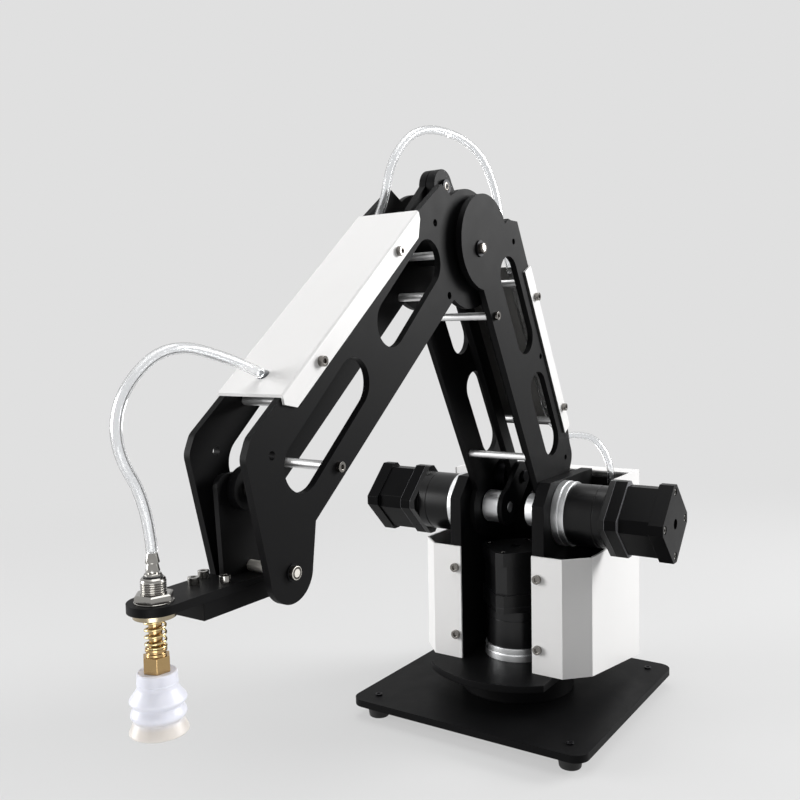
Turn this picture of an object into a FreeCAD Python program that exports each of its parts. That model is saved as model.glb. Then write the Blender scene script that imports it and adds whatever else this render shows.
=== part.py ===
import FreeCAD, Part
import math
import os
import Sketcher
from FreeCAD import Placement, Rotation, Vector

# Desktop palletising arm in millimetres. The origin is on the turning axis at floor level,
# X points forward to the tool, Y to the side of the lower arm's motor and Z up.

DRIVING_SIZES = {
    # base and its feet
    "foot_height": 10,
    "foot_radius": 8.5,
    "base_width": 180,
    "base_thickness": 5,
    "base_corner": 10,
    "foot_pitch": 150,
    "pedestal_height": 17.7,
    "pedestal_radius": 42,
    # turret
    "floor_thickness": 5,
    "floor_radius": 67,
    "floor_width": 90,
    "shoulder_rise": 109.2,
    "shoulder_setback": 2.5,
    "turret_gap": 57,
    "turret_plate_thickness": 9,
    "turret_height": 134,
    "turret_front": 31.7,
    "turret_rear": 57,
    "back_plate_thickness": 4,
    "back_plate_width": 104,
    "back_plate_height": 128,
    # white sheet covers
    "sheet_thickness": 1.5,
    "cover_flange_reach": 51.6,
    "cover_half_width": 67.1,
    "cover_bend": 46,
    "cover_rear": 78.5,
    "cover_front_height": 84,
    "cover_rear_height": 132,
    "cover_step": 27,
    "cover_tail_drop": 14,
    # geared stepper motors, all of one kind
    "motor_width": 42.3,
    "motor_chamfer": 4.5,
    "flange_length": 9.5,
    "flange_radius": 23.5,
    "gearbox_length": 27,
    "gearbox_radius": 22,
    "adapter_length": 4,
    "front_cap_length": 9,
    "stator_length": 21.5,
    "rear_cap_length": 10,
    "shaft_radius": 4,
    # lower arm
    "lower_arm_length": 210,
    "lower_arm_lean": 29,
    "lower_gap": 47,
    "lower_plate_thickness": 4,
    "lower_foot_radius": 23,
    "lower_head_radius": 30,
    "lower_front": 8,
    "lower_rear": 56,
    "lower_slot_width": 24,
    "lower_cover_depth": 9,
    "spacer_radius": 2.5,
    "hub_radius": 12,
    # forearm
    "forearm_length": 240,
    "forearm_dip": 43,
    "forearm_gap": 32,
    "forearm_plate_thickness": 4,
    "forearm_head_radius": 37,
    "forearm_tip_radius": 15.5,
    "forearm_slot_width": 27.5,
    "forearm_cover_depth": 12,
    # linkage
    "crank_radius": 30,
    "crank_thickness": 4,
    "rod_thickness": 5,
    "rod_width": 12,
    "eye_radius": 8,
    "level_back": 30,
    "level_rise": 39.5,
    "level_forward": 4,
    "pin_radius": 3,
    "elbow_shaft_radius": 5,
    "rocker_thickness": 6,
    # wrist and suction tool
    "wrist_shaft_radius": 2.8,
    "bracket_thickness": 3,
    "bracket_height": 52.6,
    "tool_block_length": 56.3,
    "tool_block_width": 20,
    "tool_block_height": 9.2,
    "tool_reach": 63.2,
    "tool_offset": 4.8,
    "tool_plate_thickness": 4,
    "bushing_radius": 5.7,
    "bushing_length": 17.6,
    "nut_flats": 15.5,
    "nut_height": 3.3,
    "locknut_height": 2.8,
    "washer_thickness": 0.5,
    "stem_radius": 3,
    "plunger_drop": 27.2,
    "plunger_travel": 6,
    "cup_radius": 13,
    "cup_height": 27,
    "spring_wire": 1.1,
    # air hose
    "hose_radius": 2.6,
    # clearances
    "running_fit": 0.08,
    "sliding_gap": 0.3,
}

SCREW_SHANK = 1.5
SCREW_HOLE = 1.6

doc = FreeCAD.newDocument("RobotArm")
sheet = doc.addObject("Spreadsheet::Sheet", "Sizes")
for row, (alias, number) in enumerate(DRIVING_SIZES.items(), start=1):
    sheet.set(f"A{row}", alias.replace("_", " "))
    sheet.set(f"B{row}", str(number))
    sheet.setAlias(f"B{row}", alias)
doc.recompute()


class Size:
    """A number together with the sheet expression it comes from."""

    def __init__(self, value, text):
        self.value = float(value)
        self.text = text

    def __add__(self, other):
        other = as_size(other)
        return Size(self.value + other.value, f"({self.text} + {other.text})")

    def __sub__(self, other):
        other = as_size(other)
        return Size(self.value - other.value, f"({self.text} - {other.text})")

    def __mul__(self, other):
        other = as_size(other)
        return Size(self.value * other.value, f"({self.text} * {other.text})")

    def __truediv__(self, other):
        other = as_size(other)
        return Size(self.value / other.value, f"({self.text} / {other.text})")

    def __radd__(self, other):
        return as_size(other) + self

    def __rsub__(self, other):
        return as_size(other) - self

    def __rmul__(self, other):
        return as_size(other) * self

    def __neg__(self):
        return Size(-self.value, f"(-1 * {self.text})")

    def __float__(self):
        return self.value


def as_size(thing):
    if isinstance(thing, Size):
        return thing
    return Size(thing, f"({float(thing)!r})")


def sine(angle):
    return Size(math.sin(math.radians(angle.value)), f"sin({angle.text} * 1 deg)")


def cosine(angle):
    return Size(math.cos(math.radians(angle.value)), f"cos({angle.text} * 1 deg)")


def tangent(angle):
    return sine(angle) / cosine(angle)


class Dimensions:
    """The driving sizes read back from the sheet, one attribute each."""

    def __init__(self):
        for name in DRIVING_SIZES:
            setattr(self, name, Size(float(sheet.get(name)), f"Sizes.{name}"))


d = Dimensions()


# Drawing helpers

def bind(thing, path, amount):
    amount = as_size(amount)
    if "Sizes." in amount.text:
        thing.setExpression(path, amount.text)
    else:
        setattr(thing, path, amount.value)


def new_body(name):
    body = doc.addObject("PartDesign::Body", name)
    body.Label = name
    return body


def sketch_on(body, role, lift=0):
    plane = [feature for feature in body.Origin.OriginFeatures if feature.Role == role][0]
    sketch = body.newObject("Sketcher::SketchObject", body.Name + "_sketch")
    sketch.AttachmentSupport = [(plane, "")]
    sketch.MapMode = "FlatFace"
    lift = as_size(lift)
    sketch.AttachmentOffset = Placement(Vector(0, 0, lift.value), Rotation())
    if "Sizes." in lift.text:
        sketch.setExpression("AttachmentOffset.Base.z", lift.text)
    return sketch


def hold(sketch, kind, geometry, point, amount):
    amount = as_size(amount)
    index = sketch.addConstraint(Sketcher.Constraint(kind, -1, 1, geometry, point, amount.value))
    if "Sizes." in amount.text:
        sketch.setExpression(f"Constraints[{index}]", amount.text)


def hold_radius(sketch, geometry, radius):
    radius = as_size(radius)
    index = sketch.addConstraint(Sketcher.Constraint("Radius", geometry, radius.value))
    if "Sizes." in radius.text:
        sketch.setExpression(f"Constraints[{index}]", radius.text)


def flat(x, y):
    return Vector(float(x), float(y), 0)


def draw_outline(sketch, corners):
    first = sketch.GeometryCount
    count = len(corners)
    for index in range(count):
        start = flat(*corners[index])
        end = flat(*corners[(index + 1) % count])
        sketch.addGeometry(Part.LineSegment(start, end))
    for index in range(count):
        following = first + (index + 1) % count
        sketch.addConstraint(Sketcher.Constraint("Coincident", first + index, 2, following, 1))
    for index, (x, y) in enumerate(corners):
        hold(sketch, "DistanceX", first + index, 1, x)
        hold(sketch, "DistanceY", first + index, 1, y)


def draw_circle(sketch, x, y, radius):
    index = sketch.addGeometry(Part.Circle(flat(x, y), Vector(0, 0, 1), float(radius)))
    hold(sketch, "DistanceX", index, 3, x)
    hold(sketch, "DistanceY", index, 3, y)
    hold_radius(sketch, index, radius)


def draw_slot(sketch, start, end, radius):
    first = flat(*start)
    last = flat(*end)
    reach = float(radius)
    along = (last - first).normalize()
    across = Vector(-along.y, along.x, 0) * reach
    turn = math.atan2(along.y, along.x)
    quarter = math.pi / 2
    right = sketch.addGeometry(Part.LineSegment(first - across, last - across))
    far_circle = Part.Circle(last, Vector(0, 0, 1), reach)
    far = sketch.addGeometry(Part.ArcOfCircle(far_circle, turn - quarter, turn + quarter))
    left = sketch.addGeometry(Part.LineSegment(last + across, first + across))
    near_circle = Part.Circle(first, Vector(0, 0, 1), reach)
    near = sketch.addGeometry(Part.ArcOfCircle(near_circle, turn + quarter, turn + 3 * quarter))
    for one, other in ((right, far), (far, left), (left, near), (near, right)):
        sketch.addConstraint(Sketcher.Constraint("Tangent", one, 2, other, 1))
    for arc, centre in ((far, end), (near, start)):
        hold(sketch, "DistanceX", arc, 3, centre[0])
        hold(sketch, "DistanceY", arc, 3, centre[1])
    sketch.addConstraint(Sketcher.Constraint("Equal", far, near))
    hold_radius(sketch, far, radius)


def pad(body, sketch, length, backward=False, both_ways=False):
    feature = body.newObject("PartDesign::Pad", body.Name + "_pad")
    feature.Profile = sketch
    feature.Reversed = backward
    feature.Midplane = both_ways
    bind(feature, "Length", length)
    sketch.Visibility = False
    return feature


def pocket_through(body, sketch):
    feature = body.newObject("PartDesign::Pocket", body.Name + "_pocket")
    feature.Profile = sketch
    feature.Type = 1
    feature.Midplane = True
    return feature


def revolve(body, sketch):
    feature = body.newObject("PartDesign::Revolution", body.Name + "_turned")
    feature.Profile = sketch
    feature.ReferenceAxis = (sketch, ["V_Axis"])
    feature.Angle = 360
    return feature


def round_corners(body, radius, spots, axis):
    """Rounds the straight edges along one axis that stand at the given places."""
    doc.recompute()
    tip = body.Tip
    keep = [index for index in range(3) if index != axis]
    names = []
    for number, edge in enumerate(tip.Shape.Edges, start=1):
        if len(edge.Vertexes) != 2:
            continue
        ends = [vertex.Point for vertex in edge.Vertexes]
        for spot in spots:
            gap = max(abs(end[keep[0]] - float(spot[0])) + abs(end[keep[1]] - float(spot[1])) for end in ends)
            if gap < 0.02:
                names.append(f"Edge{number}")
    fillet = body.newObject("PartDesign::Fillet", body.Name + "_round")
    fillet.Base = (tip, names)
    bind(fillet, "Radius", radius)


def place(thing, x, y, z, tilt=0):
    turn = Rotation(Vector(0, 1, 0), float(tilt))
    thing.Placement = Placement(Vector(float(x), float(y), float(z)), turn)


def turned(name, role, profile):
    body = new_body(name)
    sketch = sketch_on(body, role)
    draw_outline(sketch, profile)
    revolve(body, sketch)
    return body


def plate(name, thickness, outline, discs=(), holes=(), slots=()):
    """A flat plate upright in XZ; its face on the Y side lies in the sketch plane."""
    body = new_body(name)
    sketch = sketch_on(body, "XZ_Plane")
    draw_outline(sketch, outline)
    pad(body, sketch, thickness)
    for disc in discs:
        sketch = sketch_on(body, "XZ_Plane")
        draw_circle(sketch, *disc)
        pad(body, sketch, thickness)
    if holes or slots:
        sketch = sketch_on(body, "XZ_Plane")
        for hole in holes:
            draw_circle(sketch, *hole)
        for slot in slots:
            draw_slot(sketch, *slot)
        pocket_through(body, sketch)
    return body


def stud(body, x, z, radius, length, lift=0, to_near_side=True):
    """A round boss on an upright plate, standing out along Y."""
    raised = -as_size(lift) if to_near_side else as_size(lift)
    sketch = sketch_on(body, "XZ_Plane", raised)
    draw_circle(sketch, x, z, radius)
    pad(body, sketch, length, backward=to_near_side)


def cylinder(radius, height, position, direction=Vector(0, 0, 1), label="pin"):
    solid = doc.addObject("Part::Cylinder", label)
    bind(solid, "Radius", radius)
    bind(solid, "Height", height)
    turn = Rotation(Vector(0, 0, 1), direction)
    solid.Placement = Placement(Vector(*[float(number) for number in position]), turn)
    return solid


def hexagon(flats, height, position, label="hex"):
    solid = doc.addObject("Part::Prism", label)
    solid.Polygon = 6
    bind(solid, "Circumradius", as_size(flats) / math.sqrt(3))
    bind(solid, "Height", height)
    solid.Placement = Placement(Vector(*[float(number) for number in position]), Rotation())
    return solid


def joined(first, second, label="joined"):
    solid = doc.addObject("Part::Fuse", label)
    solid.Base = first
    solid.Tool = second
    return solid


def cut(first, second, label="cut"):
    solid = doc.addObject("Part::Cut", label)
    solid.Base = first
    solid.Tool = second
    return solid


def group(name, members):
    compound = doc.addObject("Part::Compound", name)
    compound.Label = name
    compound.Links = members
    return compound


def screw(position, direction, shank_length, head_radius=2.75, head_height=2.6):
    """A socket screw whose head seats at the position, its shank pointing against the direction."""
    seat = Vector(*[float(number) for number in position])
    head = cylinder(head_radius, head_height, seat, direction, "screw_head")
    shank_start = seat - direction * float(shank_length)
    shank = cylinder(SCREW_SHANK, shank_length, shank_start, direction, "screw_shank")
    socket = hexagon(head_radius * 0.95, head_height, (0, 0, 0), "screw_socket")
    lift = seat + direction * (head_height * 0.45)
    socket.Placement = Placement(lift, Rotation(Vector(0, 0, 1), direction))
    return cut(joined(head, shank, "screw_blank"), socket, "screw")


NEAR = Vector(0, 1, 0)
FAR = Vector(0, -1, 0)
SIDES = (("near", 1, NEAR), ("far", -1, FAR))


# Main positions

plate_top = d.foot_height + d.base_thickness
floor_bottom = plate_top + d.pedestal_height + d.sliding_gap
floor_top = floor_bottom + d.floor_thickness
shoulder_x = -d.shoulder_setback
shoulder_z = floor_top + d.shoulder_rise
elbow_x = shoulder_x + d.lower_arm_length * sine(d.lower_arm_lean)
elbow_z = shoulder_z + d.lower_arm_length * cosine(d.lower_arm_lean)
wrist_x = elbow_x + d.forearm_length * cosine(d.forearm_dip)
wrist_z = elbow_z - d.forearm_length * sine(d.forearm_dip)


class Member:
    """A leaning frame: local x and z turned about Y by the tilt."""

    def __init__(self, x, z, tilt):
        self.x = x
        self.z = z
        self.tilt = tilt

    def at(self, across, up):
        across = as_size(across)
        up = as_size(up)
        x = self.x + across * cosine(self.tilt) + up * sine(self.tilt)
        z = self.z - across * sine(self.tilt) + up * cosine(self.tilt)
        return x, z

    def place(self, thing, y, across=0, up=0):
        x, z = self.at(across, up)
        place(thing, x, y, z, self.tilt)


# In the lower arm local z runs from the shoulder to the elbow and local x to the front.
lower = Member(shoulder_x, shoulder_z, d.lower_arm_lean)
# In the forearm local x runs from the elbow to the wrist and local z to the upper side.
fore = Member(elbow_x, elbow_z, d.forearm_dip)
crank_x = shoulder_x - d.crank_radius * cosine(d.forearm_dip)
crank_z = shoulder_z + d.crank_radius * sine(d.forearm_dip)

fit = d.running_fit
gap = d.sliding_gap

turret_inner = d.turret_gap / 2
turret_outer = turret_inner + d.turret_plate_thickness
lower_inner = d.lower_gap / 2
lower_outer = lower_inner + d.lower_plate_thickness
fore_inner = d.forearm_gap / 2
fore_outer = fore_inner + d.forearm_plate_thickness


# Base

def make_base():
    half = d.base_width / 2
    pitch = d.foot_pitch / 2
    base = new_body("base_plate")
    sketch = sketch_on(base, "XY_Plane")
    corners = [(-half, -half), (half, -half), (half, half), (-half, half)]
    draw_outline(sketch, corners)
    pad(base, sketch, d.base_thickness)
    round_corners(base, d.base_corner, corners, 2)
    sketch = sketch_on(base, "XY_Plane")
    spots = [(-pitch, -pitch), (pitch, -pitch), (pitch, pitch), (-pitch, pitch)]
    for x, y in spots:
        draw_circle(sketch, x, y, SCREW_HOLE)
    pocket_through(base, sketch)
    place(base, 0, 0, d.foot_height)

    feet = []
    screws = []
    for x, y in spots:
        foot = doc.addObject("Part::Cone", "foot")
        bind(foot, "Radius1", d.foot_radius * 0.84)
        bind(foot, "Radius2", d.foot_radius)
        bind(foot, "Height", d.foot_height)
        foot.Placement = Placement(Vector(float(x), float(y), 0), Rotation())
        feet.append(foot)
        screws.append(screw((x, y, plate_top), Vector(0, 0, 1), d.base_thickness, 2.6, 1.1))
    group("rubber_feet", feet)
    group("foot_screws", screws)

    spindle_top = d.pedestal_height + gap + d.floor_thickness + d.flange_length * 0.85
    pedestal = turned("base_pedestal", "XZ_Plane", [
        (0, 0),
        (d.pedestal_radius, 0),
        (d.pedestal_radius, d.pedestal_height),
        (d.shaft_radius, d.pedestal_height),
        (d.shaft_radius, spindle_top),
        (0, spindle_top),
    ])
    place(pedestal, 0, 0, plate_top)


# Turret

def make_turret():
    disc = cylinder(d.floor_radius, d.floor_thickness, (0, 0, floor_bottom), label="floor_disc")
    strip = doc.addObject("Part::Box", "floor_strip")
    bind(strip, "Length", d.floor_radius * 2 + 2)
    bind(strip, "Width", d.floor_width)
    bind(strip, "Height", d.floor_thickness)
    corner = Vector(-float(d.floor_radius) - 1, -float(d.floor_width) / 2, float(floor_bottom))
    strip.Placement = Placement(corner, Rotation())
    clipped = doc.addObject("Part::Common", "floor_clipped")
    clipped.Base = disc
    clipped.Tool = strip
    eye = cylinder(d.shaft_radius + 2, d.floor_thickness, (0, 0, floor_bottom), label="floor_eye")
    floor = cut(clipped, eye, "turret_floor")
    floor.Label = "turret_floor"

    top = floor_top + d.turret_height
    outline = [
        (-d.turret_rear, floor_top),
        (d.turret_front, floor_top),
        (d.turret_front, top - 15),
        (d.turret_front - 12.7, top),
        (-d.turret_rear, top),
    ]
    opening = [(shoulder_x, shoulder_z, d.flange_radius * 0.6)]
    for name, side, _ in SIDES:
        wall = plate("turret_plate_" + name, d.turret_plate_thickness, outline, holes=opening)
        place(wall, 0, turret_outer if side > 0 else -turret_inner, 0)

    back = doc.addObject("Part::Box", "turret_back_plate")
    back.Label = "turret_back_plate"
    bind(back, "Length", d.back_plate_thickness)
    bind(back, "Width", d.back_plate_width)
    bind(back, "Height", d.back_plate_height)
    place(back, -d.turret_rear - d.back_plate_thickness, -d.back_plate_width / 2, floor_top)


def make_side_cover(name, side):
    """White bent sheet: front flange, slanted bend, long side wall with a raised tail."""
    t = d.sheet_thickness
    front = d.turret_front + t
    slant = d.cover_half_width - d.cover_flange_reach
    bend_x = front - slant * tangent(d.cover_bend)
    first_trim = t * tangent(d.cover_bend / 2)
    second_trim = t * tangent((90 - d.cover_bend) / 2)
    plan = [
        (front, turret_inner),
        (front, d.cover_flange_reach),
        (bend_x, d.cover_half_width),
        (-d.cover_rear, d.cover_half_width),
        (-d.cover_rear, d.cover_half_width - t),
        (bend_x - second_trim, d.cover_half_width - t),
        (front - t, d.cover_flange_reach - first_trim),
        (front - t, turret_inner),
    ]
    cover = new_body("turret_cover_" + name)
    sketch = sketch_on(cover, "XY_Plane")
    draw_outline(sketch, [(x, y * side) for x, y in plan])
    low = floor_top - d.cover_tail_drop
    pad(cover, sketch, d.cover_rear_height + d.cover_tail_drop)
    high = d.cover_tail_drop + d.cover_rear_height + 5
    step = d.cover_tail_drop + d.cover_front_height
    trims = (
        [(-d.cover_step, high), (-d.cover_step, step), (front + 5, step), (front + 5, high)],
        [(front + 5, d.cover_tail_drop), (bend_x, d.cover_tail_drop), (-d.cover_rear - 5, -1), (-d.cover_rear - 5, -5),
         (front + 5, -5)],
    )
    for trim in trims:
        sketch = sketch_on(cover, "XZ_Plane")
        draw_outline(sketch, trim)
        pocket_through(cover, sketch)
    sketch = sketch_on(cover, "YZ_Plane")
    for height in cover_screw_heights():
        draw_circle(sketch, (turret_inner + d.turret_plate_thickness / 2) * side, height - low, SCREW_HOLE)
    pocket_through(cover, sketch)
    place(cover, 0, 0, low)


def cover_screw_heights():
    return (floor_top + d.cover_front_height * 0.21, floor_top + d.cover_front_height * 0.81)


def make_covers():
    for name, side, _ in SIDES:
        make_side_cover(name, side)
    t = d.sheet_thickness
    top = floor_top + d.cover_rear_height
    rear_face = -d.turret_rear - d.back_plate_thickness
    rear = new_body("turret_rear_cover")
    sketch = sketch_on(rear, "XZ_Plane")
    draw_outline(sketch, [
        (rear_face, top),
        (-d.cover_rear, top),
        (-d.cover_rear, floor_top),
        (-d.cover_rear + t, floor_top),
        (-d.cover_rear + t, top - t),
        (rear_face, top - t),
    ])
    pad(rear, sketch, (d.cover_half_width - t) * 2, both_ways=True)
    screws = []
    ahead = Vector(1, 0, 0)
    for _, side, _ in SIDES:
        for height in cover_screw_heights():
            spot = (d.turret_front + t, (turret_inner + d.turret_plate_thickness / 2) * side, height)
            screws.append(screw(spot, ahead, t, 3.2, 2.4))
    group("turret_cover_screws", screws)


# Motors

def octagon(width, chamfer):
    half = width / 2
    inner = half - chamfer
    return [
        (half, -inner),
        (half, inner),
        (inner, half),
        (-inner, half),
        (-half, inner),
        (-half, -inner),
        (-inner, -half),
        (inner, -half),
    ]


def make_motor(prefix, position, turn):
    """Output flange, gearbox and stepper along local minus Y, the flange face at the origin."""
    whole = Placement(Vector(*[float(number) for number in position]), turn)
    step = d.flange_length
    flange = turned(prefix + "_output_flange", "XY_Plane", [
        (d.shaft_radius + fit, 0),
        (d.flange_radius, 0),
        (d.flange_radius, -step * 0.5),
        (d.flange_radius - 0.8, -step * 0.5),
        (d.flange_radius - 0.8, -step * 0.58),
        (d.flange_radius - 0.3, -step * 0.58),
        (d.flange_radius - 0.3, -step),
        (d.shaft_radius + fit, -step),
    ])
    flange.Placement = whole

    box = turned(prefix + "_gearbox", "XY_Plane", [
        (0, -step),
        (d.gearbox_radius, -step),
        (d.gearbox_radius, -step - d.gearbox_length * 0.74),
        (d.gearbox_radius - 0.4, -step - d.gearbox_length * 0.74),
        (d.gearbox_radius - 0.4, -step - d.gearbox_length * 0.76),
        (d.gearbox_radius, -step - d.gearbox_length * 0.76),
        (d.gearbox_radius, -step - d.gearbox_length),
        (0, -step - d.gearbox_length),
    ])
    sketch = sketch_on(box, "XZ_Plane", step + d.gearbox_length)
    draw_outline(sketch, octagon(d.motor_width, d.motor_chamfer))
    pad(box, sketch, d.adapter_length)
    box.Placement = whole * Placement(Vector(), Rotation(Vector(0, 1, 0), 45))

    motor = new_body(prefix + "_motor")
    start = step + d.gearbox_length + d.adapter_length
    lengths = (d.front_cap_length, d.stator_length, d.rear_cap_length)
    insets = (0, 1, 0)
    for length, inset in zip(lengths, insets):
        sketch = sketch_on(motor, "XZ_Plane", start)
        draw_outline(sketch, octagon(d.motor_width - inset * 2, d.motor_chamfer + inset * 2))
        pad(motor, sketch, length)
        start = start + length
    sketch = sketch_on(motor, "XZ_Plane", start)
    draw_circle(sketch, 0, 0, d.shaft_radius * 0.9)
    corner = d.motor_width * 0.366
    for x, z in ((corner, corner), (-corner, corner), (-corner, -corner), (corner, -corner)):
        draw_circle(sketch, x, z, d.motor_chamfer * 0.62)
    hollow = motor.newObject("PartDesign::Pocket", motor.Name + "_end_holes")
    hollow.Profile = sketch
    bind(hollow, "Length", d.rear_cap_length * 0.3)
    motor.Placement = whole * Placement(Vector(), Rotation(Vector(0, 1, 0), 45))


def make_motors():
    about_z = Rotation(Vector(0, 0, 1), 180)
    make_motor("near", (shoulder_x, turret_outer, shoulder_z), about_z)
    make_motor("far", (shoulder_x, -turret_outer, shoulder_z), Rotation())
    make_motor("base", (0, 0, floor_top), Rotation(Vector(1, 0, 0), -90))


# Lower arm

def make_lower_arm():
    long = d.lower_arm_length
    rear = d.lower_rear
    ear = (-rear + 14.6, long * 0.089)
    spare_holes = (ear, (-rear + 14, long * 0.508), (-rear + 11.7, long * 0.923))
    front_spacers = ((d.lower_front - 5, long * 0.243), (d.lower_front - 5, long * 0.781))
    rear_spacers = ((-rear + 13, long * 0.243), (-rear + 13, long * 0.781))
    cover_start = long * 0.176
    cover_length = long * 0.634
    cover_screws = ((-rear + 2.6, long * 0.267), (-rear + 2.6, long * 0.704))
    slot_half = d.lower_slot_width / 2
    slots = (
        ((-rear + 28.5, long * 0.157 + slot_half), (-rear + 28.5, long * 0.48 - slot_half), slot_half),
        ((-rear + 28.5, long * 0.567 + slot_half), (-rear + 28.5, long * 0.905 - slot_half), slot_half),
    )
    outline = [
        (0, 0),
        (d.lower_front, 0),
        (d.lower_front, long - 12),
        (-rear + 11, long),
        (-rear + 8, long - 2.5),
        (-rear, long - 7),
        (-rear, cover_start),
        (-rear + 3.1, ear[1] + 4),
        (-rear + 3.1, ear[1]),
        (-rear + 10, ear[1] - 10.5),
        (-d.lower_foot_radius * 0.64, -d.lower_foot_radius * 0.765),
    ]
    discs = (
        (0, 0, d.lower_foot_radius),
        (-9, long, d.lower_head_radius),
        (ear[0], ear[1], 11.5),
    )
    screws = []
    for name, side, out in SIDES:
        shoulder_hole = d.shaft_radius if side > 0 else d.shaft_radius + fit
        holes = [(0, 0, shoulder_hole), (0, long, d.elbow_shaft_radius * 0.6)]
        holes += [(x, z, 2) for x, z in spare_holes]
        holes += [(x, z, SCREW_HOLE) for x, z in front_spacers[1:] + cover_screws]
        web = plate("lower_arm_plate_" + name, d.lower_plate_thickness, outline, discs, holes, slots)
        lower.place(web, lower_outer if side > 0 else -lower_inner)
        for x, z in front_spacers[1:]:
            spot = lower.at(x, z)
            screws.append(screw((spot[0], lower_outer * side, spot[1]), out, d.lower_plate_thickness))
        for x, z in cover_screws:
            spot = lower.at(x, z)
            seat = lower_outer + d.sheet_thickness
            screws.append(screw((spot[0], seat * side, spot[1]), out, d.sheet_thickness + d.lower_plate_thickness))
    group("lower_arm_screws", screws)

    spacers = []
    for x, z in rear_spacers + front_spacers:
        spot = lower.at(x, z)
        spacers.append(cylinder(d.spacer_radius, d.lower_gap, (spot[0], -lower_inner, spot[1]), NEAR, "spacer"))
    group("lower_arm_spacers", spacers)

    t = d.sheet_thickness
    web_face = -rear - 0.5
    cover = new_body("lower_arm_cover")
    sketch = sketch_on(cover, "XY_Plane")
    draw_outline(sketch, [
        (-rear + d.lower_cover_depth, lower_outer + t),
        (web_face - t, lower_outer + t),
        (web_face - t, -lower_outer - t),
        (-rear + d.lower_cover_depth, -lower_outer - t),
        (-rear + d.lower_cover_depth, -lower_outer),
        (web_face, -lower_outer),
        (web_face, lower_outer),
        (-rear + d.lower_cover_depth, lower_outer),
    ])
    pad(cover, sketch, cover_length)
    bends = [(web_face - t, lower_outer + t), (web_face - t, -lower_outer - t)]
    round_corners(cover, t, bends, 2)
    sketch = sketch_on(cover, "XZ_Plane")
    for x, z in cover_screws:
        draw_circle(sketch, x, z - cover_start, SCREW_HOLE)
    pocket_through(cover, sketch)
    lower.place(cover, 0, 0, cover_start)

    shaft_end = turret_outer + d.flange_length * 0.85
    hub = turned("shoulder_hub", "XY_Plane", [
        (0, lower_inner - 11.5),
        (d.hub_radius, lower_inner - 11.5),
        (d.hub_radius, lower_inner),
        (d.shaft_radius, lower_inner),
        (d.shaft_radius, shaft_end),
        (0, shaft_end),
    ])
    lower.place(hub, 0)

    core = d.elbow_shaft_radius
    half = [
        (core, lower_inner),
        (core * 0.6, lower_inner),
        (core * 0.6, lower_outer),
        (core, lower_outer),
        (core, lower_outer + 1),
        (core * 0.65, lower_outer + 1),
        (core * 0.65, lower_outer + 3.6),
        (0, lower_outer + 3.6),
    ]
    mirrored = [(r, -y) for r, y in reversed(half)]
    shaft = turned("elbow_shaft", "XY_Plane", mirrored + half)
    lower.place(shaft, 0, 0, long)


# Drive linkage

def make_rod(name, length, eye, width, start, tilt, near_face, upright):
    """A flat link with an eye at each end; upright rods run along local z, others along local x."""
    half = width / 2
    bar = [(-half, 0), (half, 0), (half, length), (-half, length)]
    centres = [(0, 0), (0, length)]
    if not upright:
        bar = [(z, x) for x, z in bar]
        centres = [(z, x) for x, z in centres]
    discs = [(x, z, eye) for x, z in centres]
    holes = [(x, z, d.pin_radius + fit) for x, z in centres]
    rod = plate(name, d.rod_thickness, bar, discs, holes)
    place(rod, start[0], near_face, start[1], tilt)


def make_drive():
    crank_face = -5.5
    crank_back = crank_face - d.crank_thickness
    reach = -d.crank_radius
    broad = d.eye_radius * 1.4
    lever = plate("crank_plate", d.crank_thickness, [
        (0, -d.hub_radius),
        (0, d.hub_radius),
        (reach, broad),
        (reach, -broad),
    ], [(0, 0, d.hub_radius + 2), (reach, 0, broad)], [(0, 0, d.shaft_radius), (reach, 0, d.pin_radius + fit)])
    place(lever, shoulder_x, crank_face, shoulder_z, d.forearm_dip)

    shaft_end = -(turret_outer + d.flange_length * 0.85)
    hub_end = -lower_inner + 2 * gap
    hub = turned("crank_hub", "XY_Plane", [
        (0, crank_face),
        (d.shaft_radius, crank_face),
        (d.shaft_radius, crank_back),
        (d.hub_radius, crank_back),
        (d.hub_radius, hub_end),
        (d.shaft_radius, hub_end),
        (d.shaft_radius, shaft_end),
        (0, shaft_end),
    ])
    place(hub, shoulder_x, 0, shoulder_z)

    rod_face = crank_back - 2 * gap
    rod_back = rod_face - d.rod_thickness
    head = d.pin_radius * 1.5
    collar = d.hub_radius + 1
    pin = turned("crank_pin", "XY_Plane", [
        (0, crank_face + 2.6),
        (head, crank_face + 2.6),
        (head, crank_face + gap),
        (d.pin_radius, crank_face + gap),
        (d.pin_radius, rod_back - gap),
        (collar, rod_back - gap),
        (collar, hub_end),
        (0, hub_end),
    ])
    place(pin, crank_x, 0, crank_z)
    make_rod("push_rod", d.lower_arm_length, d.eye_radius, d.rod_width, (crank_x, crank_z), d.lower_arm_lean,
             rod_face, True)

    end_pin = turned("push_rod_pin", "XY_Plane", [
        (0, -fore_outer - 1.5),
        (head, -fore_outer - 1.5),
        (head, -fore_outer),
        (d.pin_radius, -fore_outer),
        (d.pin_radius, rod_face + gap),
        (head, rod_face + gap),
        (head, rod_face + gap + 1.5),
        (0, rod_face + gap + 1.5),
    ])
    spot = fore.at(-d.crank_radius, 0)
    place(end_pin, spot[0], 0, spot[1])


# Levelling linkage

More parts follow.
